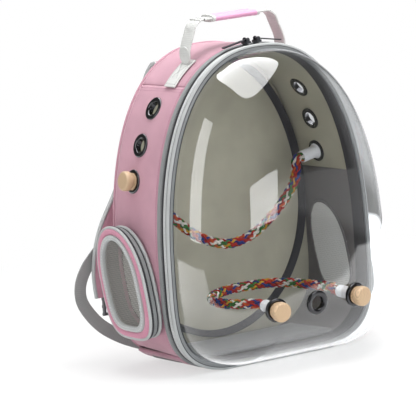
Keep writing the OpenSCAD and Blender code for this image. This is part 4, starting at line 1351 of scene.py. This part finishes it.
class CARRIER_OT_pods(bpy.types.Operator):
    """Side pods: zipped wall, padded door rim, piping and knitted net"""

    bl_idname = "carrier.pods"
    bl_label = "Side pods"

    def execute(self, context):
        x0 = POD_DOOR_X
        x1 = x0 - 0.4
        for side, name in SIDES:
            door = f"{name}_pod_door"
            # Wall: seated in the shell's flank, a piping at its foot, a tape with teeth up to the door
            settle(join(f"{name}_pod_wall_set", [
                pod_loft(f"{name}_pod_side", side, [
                    (12.2, None), (9, None), (6.2, 146), (5.4, 148), (3.0, 151), (1.6, 154.5), (1.5, 157.2),
                    (3.6, 157.2), (5.0, 152), (9.4, 146)], "grey piping"),
                pod_cord(f"{name}_pod_foot_piping", side, 147.6, 3.6, 2.3, "piping"),
                pod_loft(f"{name}_pod_zip_bed", side, [(1.6, 157.2), (1.6, x1), (3.4, x1), (3.6, 157.2)], "binding"),
                teeth(f"{name}_pod_teeth", pod_path(side, 158.6, 1.3), (1.3, 1.3, 1.1)),
                stitches(f"{name}_pod_wall_seam", pod_path(side, 155.4, 1.35), "grey thread", True),
                # A dark cord in the binding's finish: a painted shadow along the seam between the wall's tape and its
                # foot piping
                pod_cord(f"{name}_pod_dark_edge", side, 151.2, 2.9, 0.8, "binding", 8),
            ]), "shell", "pod_canvas", f"{name}_pod_wall")
            # Door: padded rim between two pipings
            settle(join(f"{name}_pod_door_rim", [
                pod_loft(f"{name}_pod_rim_pad", side, [
                    (10.0, x0 + 0.2), (3.2, x0 + 0.2), (2.6, x0 + 1.6), (3.0, x0 + 3.4), (4.2, x0 + 4.8),
                    (6.2, x0 + 5.2), (8.2, x0 + 4.9), (9.7, x0 + 4.0), (10.0, x0 + 3.0)], "pod canvas"),
                pod_cord(f"{name}_pod_edge_piping", side, x0 + 1.9, 1.9, 1.85, "piping"),
                stitches(f"{name}_pod_rim_seam", pod_path(side, x0 + 4.6, 4.1), "pink thread", True),
            ]), door, "pod_canvas", f"{name}_pod_frame")
            settle(join(f"{name}_pod_band_set", [
                pod_loft(f"{name}_pod_band", side, [
                    (16.0, x0 + 0.3), (10.05, x0 + 0.3), (10.05, x0 + 4.9), (10.6, x0 + 5.9), (12.0, x0 + 6.4),
                    (14.2, x0 + 6.4), (15.5, x0 + 5.9), (16.0, x0 + 4.9)], "piping"),
                stitches(f"{name}_band_seam_a", pod_path(side, x0 + 6.4, 11.6), "pale thread", True),
                stitches(f"{name}_band_seam_b", pod_path(side, x0 + 6.4, 14.6), "pale thread", True),
            ]), door, "grey_piping", f"{name}_pod_piping")

            # Net, to a little past the band's inner edge
            def on_door(y, z):
                return at(side * (x0 + 2.1), y, z)

            poly = [pod_point(t, 15.0) for t in POD_TURNS]
            mesh = net(f"{name}_pod_net", poly, on_door, POD_THREAD_R, "net")
            settle(mesh, door, "pod_net", f"{name}_pod_mesh")
        return {"FINISHED"}


# ---- handle and pulls -------------------------------------------------------


class CARRIER_OT_handle(bpy.types.Operator):
    """Webbing handle, its padded grip and the tails sewn to the shell"""

    bl_idname = "carrier.handle"
    bl_label = "Top handle"

    def execute(self, context):
        foot = top_z(HANDLE_HALF, WALL_IN) + 2.6
        high = foot + HANDLE_RISE
        self.strap(foot, high)
        self.grip(high)
        tails = [piece for s, _ in SIDES for piece in self.tail(s)]
        settle(join("handle_tails", tails), "shell", "handle_webbing", "handle_tabs")
        return {"FINISHED"}

    def strap(self, foot, high):
        """An arch of webbing on two round feet."""
        bend, lean = 16, 8
        half = [(HANDLE_HALF, foot + 10), (HANDLE_HALF, foot + 13), (HANDLE_HALF - 1.2, foot + 18),
                (HANDLE_HALF - 4.6, foot + 27)]
        for q in (math.radians(a) for a in (10, 30, 50, 70, 90)):
            half.append((HANDLE_HALF - lean - bend + bend * math.cos(q), high - bend + bend * math.sin(q)))
        line = [(-x, z) for x, z in half] + half[::-1]
        path = respace([Vector(p) for p in smooth_curve([tuple(at(x, HANDLE_Y, z)) for x, z in line], 8)], 0.002)
        hint = Vector((1, 0, 0.01))
        parts = [sweep("handle_strap", path, rounded(20, 2.2, 0.9), "handle webbing", hint)]
        for off in (-8.2, 8.2):
            edge = [p + Vector((0, off / 1000, 0)) + t * 0.00115 for p, (d, s, t) in zip(path, frames(path, hint))]
            parts.append(stitches(f"handle_seam_{off}", edge, "grey thread"))
        profile = [(0.01, -1.0), (9.7, -1.0), (10, -0.7), (10, 0.7), (9.7, 1.0), (0.01, 1.0)]
        for s, name in SIDES:
            seat = Vector((s * HANDLE_HALF, HANDLE_Y, foot + 10))
            parts.append(lathe(f"handle_foot_{name}", profile, seat, X, "handle webbing", 48))
        settle(join("handle_strap_set", parts), "carry_handle", "handle_webbing", "handle_webbing")

    def grip(self, high):
        """Canvas sleeve over foam, with a binding at both ends."""
        around, last = 40, 33
        section = oval(around, 0.75, 0.85)
        z0 = high - 0.2
        rows = []
        for i in range(last + 1):
            x = -GRIP_HALF + 2 * GRIP_HALF * i / last
            e = min(x + GRIP_HALF, GRIP_HALF - x)
            swell = 0.86 + 0.14 * min(1, e / 4) ** 0.5 + 0.012 * math.sin(x * 0.9)
            w, h = 12.6 * swell, 4.0 * swell
            rows.append([at(x, HANDLE_Y + w * u, z0 + h * v) for u, v in section])
        sleeve = loft("grip_sleeve", rows, "grip canvas", ring=True, caps=True, angle=50)
        puff(sleeve, [around * i + k for i in (0, 1, 2, last - 2, last - 1, last) for k in range(around)], 0.8)
        parts = [sleeve]
        for s, name in SIDES:
            rows = [[at(s * x, HANDLE_Y + 12.9 * f * u, z0 + 4.3 * f * v) for u, v in section]
                    for x, f in ((33.4, 0.8), (33.4, 0.97), (32.9, 1), (29.6, 1), (29.2, 0.95))]
            parts.append(loft(f"grip_end_{name}", rows, "handle webbing", ring=True, caps=True, angle=40))
        grip = join("grip_sleeve_set", parts)
        settle(grip, "carry_handle", "grip_canvas", "handle_grip")

    def tail(self, s):
        """Webbing laid on the shell and sewn with a crossed box."""
        mid = [(s * x, top_z(x, WALL_IN)) for x in (59.5, 63, 67, 72, 77, 82, 87, 91.5)]
        path = []
        for i, (x, z) in enumerate(mid):
            a, b = mid[max(i - 1, 0)], mid[min(i + 1, len(mid) - 1)]
            d = Vector((b[0] - a[0], 0, b[1] - a[1])).normalized()
            n = Vector((-d.z, 0, d.x))
            path.append(at(x, HANDLE_Y, z) + (n if n.z > 0 else -n) * 0.0014)
        path = respace(path, 0.003)
        top = [p + Vector((0.0004 * s, 0, 0.0009)) for p in path]

        def lay(points):
            """The points on the webbing's face."""
            near = [min((abs(q.x - p.x), k) for k, q in enumerate(top))[1] for p in points]
            return [Vector((p.x, p.y, top[k].z)) for p, k in zip(points, near)]

        w = Vector((0, 0.0085, 0))
        a, b = top[2], top[-2]
        box = [a - w, b - w, b + w, a + w]
        loop = [p.lerp(q, k / 6) for p, q in zip(box, box[1:] + box[:1]) for k in range(6)]
        parts = [sweep(f"tail_{s}", path, rounded(21, 1.6, 0.7), "handle webbing", Z),
                 stitches(f"tail_box_{s}", lay(loop), "grey thread", True, 2.0, 0.5, TAIL_STITCH_STEP)]
        for p, q in ((box[0], box[2]), (box[1], box[3])):
            cross = lay([p.lerp(q, k / 10) for k in range(11)])
            parts.append(stitches(
                f"tail_cross_{s}_{p.x:.3f}", cross, "grey thread", False, 2.0, 0.5, TAIL_STITCH_STEP))
        return parts


class CARRIER_OT_pulls(bpy.types.Operator):
    """Zip sliders and their pulls"""

    bl_idname = "carrier.pulls"
    bl_label = "Zip sliders and pulls"

    def execute(self, context):
        for name in ("zip_sliders", "left_zip_pull", "right_zip_pull"):
            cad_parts[name].data.materials[0] = finish("gunmetal")
        return {"FINISHED"}


# ---- shoulder straps --------------------------------------------------------


def buckle(name, s):
    """Ladder lock: a frame with two slots and a middle bar."""
    parts = []
    for x0, z0, x1, z1, w, h in (
        (106.6, 75.4, 135.4, 75.4, 3.8, 4.6), (106.6, 66.2, 135.4, 66.2, 4.6, 4.6),
        (106.6, 57.0, 135.4, 57.0, 3.4, 4.6), (108.4, 55.9, 108.4, 77.3, 3.6, 4.8),
        (133.6, 55.9, 133.6, 77.3, 3.6, 4.8),
    ):
        a, b = at(s * x0, BUCKLE_Y, z0), at(s * x1, BUCKLE_Y, z1)
        line = [a.lerp(b, k / 8) for k in range(9)]
        parts.append(sweep(f"{name}_bar_{x0}_{z0}", line, rounded(w, h, min(w, h) * 0.4, 4), "buckle", Y))
    return join(name, parts)


class CARRIER_OT_straps(bpy.types.Operator):
    """Padded shoulder straps, their webbing, buckles and sewn anchors"""

    bl_idname = "carrier.straps"
    bl_label = "Shoulder straps"

    def execute(self, context):
        for s, name in SIDES:
            self.pad(s, name)
            line = respace([at(s * p.x, p.y, p.z) for p in smooth_curve(WEBBING_ROUTE, 10)], 0.003)
            web = sweep(f"{name}_strap_webbing", line, rounded(16, 1.6, 0.7), "webbing", Y)
            settle(web, "shell", "strap_webbing", f"{name}_webbing")
            settle(buckle(f"{name}_ladder_lock", s), "shell", "buckle_plastic", f"{name}_buckle")

        xs = [-59 + 118 * i / 40 for i in range(41)]
        band = [at(x, BODY_D + 1.6, YOKE_Z) for x in xs]
        parts = [sweep("yoke_band", band, rounded(2.8, 15.6, 1.1), "canvas", Z)]
        for z in (YOKE_Z - 5.6, YOKE_Z + 5.6):
            line = [at(x, BODY_D + 3.1, z) for x in xs]
            parts.append(stitches(f"yoke_seam_{z}", line, "pink thread", False, 2.7, 0.45))
        settle(join("yoke_set", parts), "shell", "pink_canvas", "strap_yoke")

        feet = []
        for s, name in SIDES:
            rows = [[at(s * (78 + 13.8 * u), BODY_D + 0.1 + h * (0.5 + 0.5 * v), z) for u, v in oval(40, 0.4, 0.5)]
                    for z, h in ((10.3, 1.2), (11.4, 5.6), (15, 6.9), (19, 6.6), (21.4, 5.0), (21.8, 1.2))]
            feet.append(loft(f"anchor_{name}", rows, "canvas", ring=True, caps=True, angle=50))
        settle(join("anchor_set", feet), "shell", "pink_canvas", "webbing_anchors")
        return {"FINISHED"}

    def pad(self, s, name):
        """Quilted pad with bound edges and two seams, thinner at both ends."""
        path = respace([at(s * p.x, p.y, p.z) for p in smooth_curve(PAD_ROUTE, 12)], 0.004)
        run = running(path)
        hint = Vector((0, 1, 0.35))
        across = frames(path, hint)
        around = 48
        section = oval(around, 0.55, 0.9)
        rows = []
        for p, (d, a, b), r in zip(path, across, run):
            e = min(r, run[-1] - r) * 1000
            h = 4.7 * (0.55 + 0.45 * min(1, e / 14)) * (1 + 0.03 * math.sin(r * 1000 / 5.5))
            rows.append([p + a * (PAD_HALF_W * u) / 1000 + b * (h * v) / 1000 for u, v in section])
        pad = loft(f"{name}_strap_cushion", rows, "canvas", ring=True, caps=True, angle=60)
        last = len(rows) - 1
        sewn = [around * i + k for i in range(last + 1) for k in range(around)
                if i < 2 or i > last - 2 or abs(math.cos(2 * math.pi * k / around)) > 0.93]
        puff(pad, sewn, 1.2)
        parts = [pad]
        for sign in (-1, 1):
            edge = [p + a * sign * PAD_HALF_W / 1000 for p, (d, a, b) in zip(path, across)]
            parts.append(sweep(f"{name}_strap_binding_{sign}", edge, rounded(3.2, 5.2, 1.3), "piping", hint))
        for off in (-17, 17):
            line = [p + a * off / 1000 + b * 4.1 / 1000 * (0.55 + 0.45 * min(1, min(r, run[-1] - r) / 0.014))
                    for p, (d, a, b), r in zip(path, across, run)]
            parts.append(stitches(f"{name}_strap_seam_{off}", line, "pink thread"))
        whole = join(f"{name}_strap_pad", parts)
        settle(whole, "shell", "strap_canvas", f"{name}_shoulder_pad")


# ---- studio -----------------------------------------------------------------


CAMERA_TARGET = Vector((0, 0.03645 - 0.0705, 0.18227))
CAMERA_AZIMUTH = 35.547
CAMERA_ELEVATION = 9.103
CAMERA_DISTANCE = 4.862
CAMERA_ROLL = -3.844
CAMERA_FOCUS_PX = 4177.8
CAMERA_CENTRE_PX = (249.87, 201.7)
FRAME_PX = 416
SENSOR = 36
WHITE = (1, 1, 1, 1)

# Soft light for the cloth: place, aim, width, height and power. Shiny things don't mirror it.
SOFTBOXES = {
    "top_softbox": ((0.2, -0.2, 2.1), (0, 0, 0.2), 1.5, 1.5, 42),
    "left_softbox": ((-1.9, -0.9, 0.9), (0, 0, 0.2), 0.8, 1.4, 5),
    "front_softbox": ((0.5, -2.4, 0.9), (0, 0, 0.18), 1.2, 1.2, 15),
}
# The cards are what the dome mirrors, as bright as a studio's lamps
CARDS = {
    "overhead_card": ((0.3, 0.0, 2.2), (0.3, 0.0, 0), 2.0, 4.4, 174, "ELLIPSE"),
    "left_card": ((-2.0, 0.15, 0.7), (0, 0, 0.25), 1.1, 2.1, 34),
    "low_card": ((0.42, -2.0, 0.15), (0, 0, 0.2), 0.72, 0.34, 4.2),
}


def area_light(name, card, place, aim, width, height, power, shape="RECTANGLE"):
    data = bpy.data.lights.new(name, "AREA")
    data.shape = shape
    data.size = width
    data.size_y = height
    data.energy = power
    obj = put(name, data)
    obj.location = place
    obj.rotation_euler = (Vector(aim) - Vector(place)).to_track_quat("-Z", "Y").to_euler()
    obj.visible_glossy = card
    obj.visible_transmission = card
    obj.visible_diffuse = not card


def studio_paper():
    """Pale paper that fades to white away from the part. For glossy rays it glows as a lit table instead, a painted
    reflection with a painted shadow near the part.
    """
    mat, n = new_finish("Pale studio paper")
    rays = n.add("LightPath").node.outputs
    place = n.add("TexCoord", result="Object")
    reach = n.vector_math("LENGTH", place)
    paper = n.add("BsdfDiffuse", {"Color": (0.86, 0.86, 0.86, 1)})
    white = n.add("Emission", {"Color": WHITE, "Strength": 1.0})
    share = n.math("MULTIPLY", n.seen(rays), n.ramp(reach, 0.2, 0.75, 0.6, 1.0))
    # The painted table glow is round, with a straight front edge half a metre in front of the part
    table = n.ramp(reach, 0.93, 0.98, 1.0, 0.0)
    front = n.ramp(n.vector_math("DOT_PRODUCT", place, (0.22, 1.0, 0.0)), -0.47, -0.43)
    # Painted shadow: the glow is weaker near the part; it is brighter again far to the right
    shadow = n.ramp(reach, 0.25, 0.5, 1.4, 2.5)
    right = n.ramp(n.add("SeparateXYZ", {0: place}, "X"), 0.85, 1.1, 0.2, 0.7)
    glow = n.math("MULTIPLY_ADD", shadow, n.math("MULTIPLY", front, table), right)
    painted_table_glow = n.add("Emission", {"Color": WHITE, "Strength": glow})
    lit = n.either(rays["Is Glossy Ray"], n.either(share, paper, white), painted_table_glow)
    n.add("OutputMaterial", {0: lit})
    return mat


def studio_world():
    """White to the camera. Shiny things see a dark studio with a pale wall on the right."""
    world = bpy.data.worlds.new("Studio")
    world.use_nodes = True
    world.node_tree.nodes.clear()
    n = Nodes(world.node_tree)
    rays = n.add("LightPath").node.outputs
    soft = n.add("Background", {"Color": WHITE, "Strength": 0.62})
    bright = n.add("Background", {"Color": WHITE, "Strength": 1.0})
    way = n.add("SeparateXYZ", {0: n.add("TexCoord", result="Generated")}, "X")
    gloom = n.add("Background", {"Color": WHITE, "Strength": n.ramp(way, 0.86, 0.94, 0.2, 0.7)})
    room = n.either(rays["Is Glossy Ray"], n.either(n.seen(rays), soft, bright), gloom)
    n.add("OutputWorld", {0: room})
    return world


def photo_camera():
    """The photograph's own camera. Its frame is off the optical axis, so it turns to the frame's middle."""
    az, el, roll = (math.radians(a) for a in (CAMERA_AZIMUTH, CAMERA_ELEVATION, CAMERA_ROLL))
    back = Vector((-math.sin(az) * math.cos(el), -math.cos(az) * math.cos(el), math.sin(el)))
    x = Z.cross(back).normalized()
    y = back.cross(x)
    c, s = math.cos(roll), math.sin(roll)
    x, y = c * x + s * y, c * y - s * x
    mx = (FRAME_PX / 2 - CAMERA_CENTRE_PX[0]) / CAMERA_FOCUS_PX
    my = -(FRAME_PX / 2 - CAMERA_CENTRE_PX[1]) / CAMERA_FOCUS_PX
    z = -(-back + x * mx + y * my).normalized()
    x = y.cross(z).normalized()
    data = bpy.data.cameras.new("Camera")
    data.sensor_width = SENSOR
    data.lens = SENSOR * CAMERA_FOCUS_PX / FRAME_PX
    data.clip_end = 100
    cam = put("Camera", data)
    turn = Matrix((x, z.cross(x), z)).transposed()
    cam.matrix_world = Matrix.Translation(CAMERA_TARGET + back * CAMERA_DISTANCE) @ turn.to_4x4()
    return cam


class CARRIER_OT_stage(bpy.types.Operator):
    """Pale floor, soft studio light and the camera"""

    bl_idname = "carrier.stage"
    bl_label = "Studio"

    def execute(self, context):
        scene = context.scene
        scene.view_settings.view_transform = "Standard"
        h, z = scene.carrier_sizes.floor / 2, -0.0004
        corners = [(-h, -h, z), (h, -h, z), (h, h, z), (-h, h, z)]
        new_piece("studio_floor", corners, [(0, 1, 2, 3)], studio_paper())
        scene.world = studio_world()
        for lamps, card in ((SOFTBOXES, False), (CARDS, True)):
            for name, values in lamps.items():
                area_light(name, card, *values)
        scene.camera = photo_camera()
        return {"FINISHED"}


class CARRIER_PT_panel(bpy.types.Panel):
    """Sidebar panel that lists the pieces and their values"""

    bl_idname = "CARRIER_PT_panel"
    bl_label = "Bird travel carrier"
    bl_space_type = "VIEW_3D"
    bl_region_type = "UI"
    bl_category = "Carrier"

    def draw(self, context):
        for group in (context.scene.carrier_sizes, context.scene.carrier_colours):
            box = self.layout.box()
            for key in group.__annotations__:
                box.prop(group, key)
        for op in OPERATORS:
            self.layout.operator(op.bl_idname)


OPERATORS = (
    CARRIER_OT_stage, CARRIER_OT_shell, CARRIER_OT_back, CARRIER_OT_cabin, CARRIER_OT_ring, CARRIER_OT_dome,
    CARRIER_OT_eyelets, CARRIER_OT_perches, CARRIER_OT_pods, CARRIER_OT_handle, CARRIER_OT_pulls, CARRIER_OT_straps,
)
CLASSES = (CarrierSizes, CarrierColours) + OPERATORS + (CARRIER_PT_panel,)


def register():
    for cls in CLASSES:
        bpy.utils.register_class(cls)
    bpy.types.Scene.carrier_sizes = bpy.props.PointerProperty(type=CarrierSizes)
    bpy.types.Scene.carrier_colours = bpy.props.PointerProperty(type=CarrierColours)


def unregister():
    del bpy.types.Scene.carrier_colours
    del bpy.types.Scene.carrier_sizes
    for cls in reversed(CLASSES):
        bpy.utils.unregister_class(cls)


def main():
    register()
    for op in OPERATORS:
        getattr(bpy.ops.carrier, op.bl_idname.split(".")[1])()


if __name__ == "__main__":
    main()
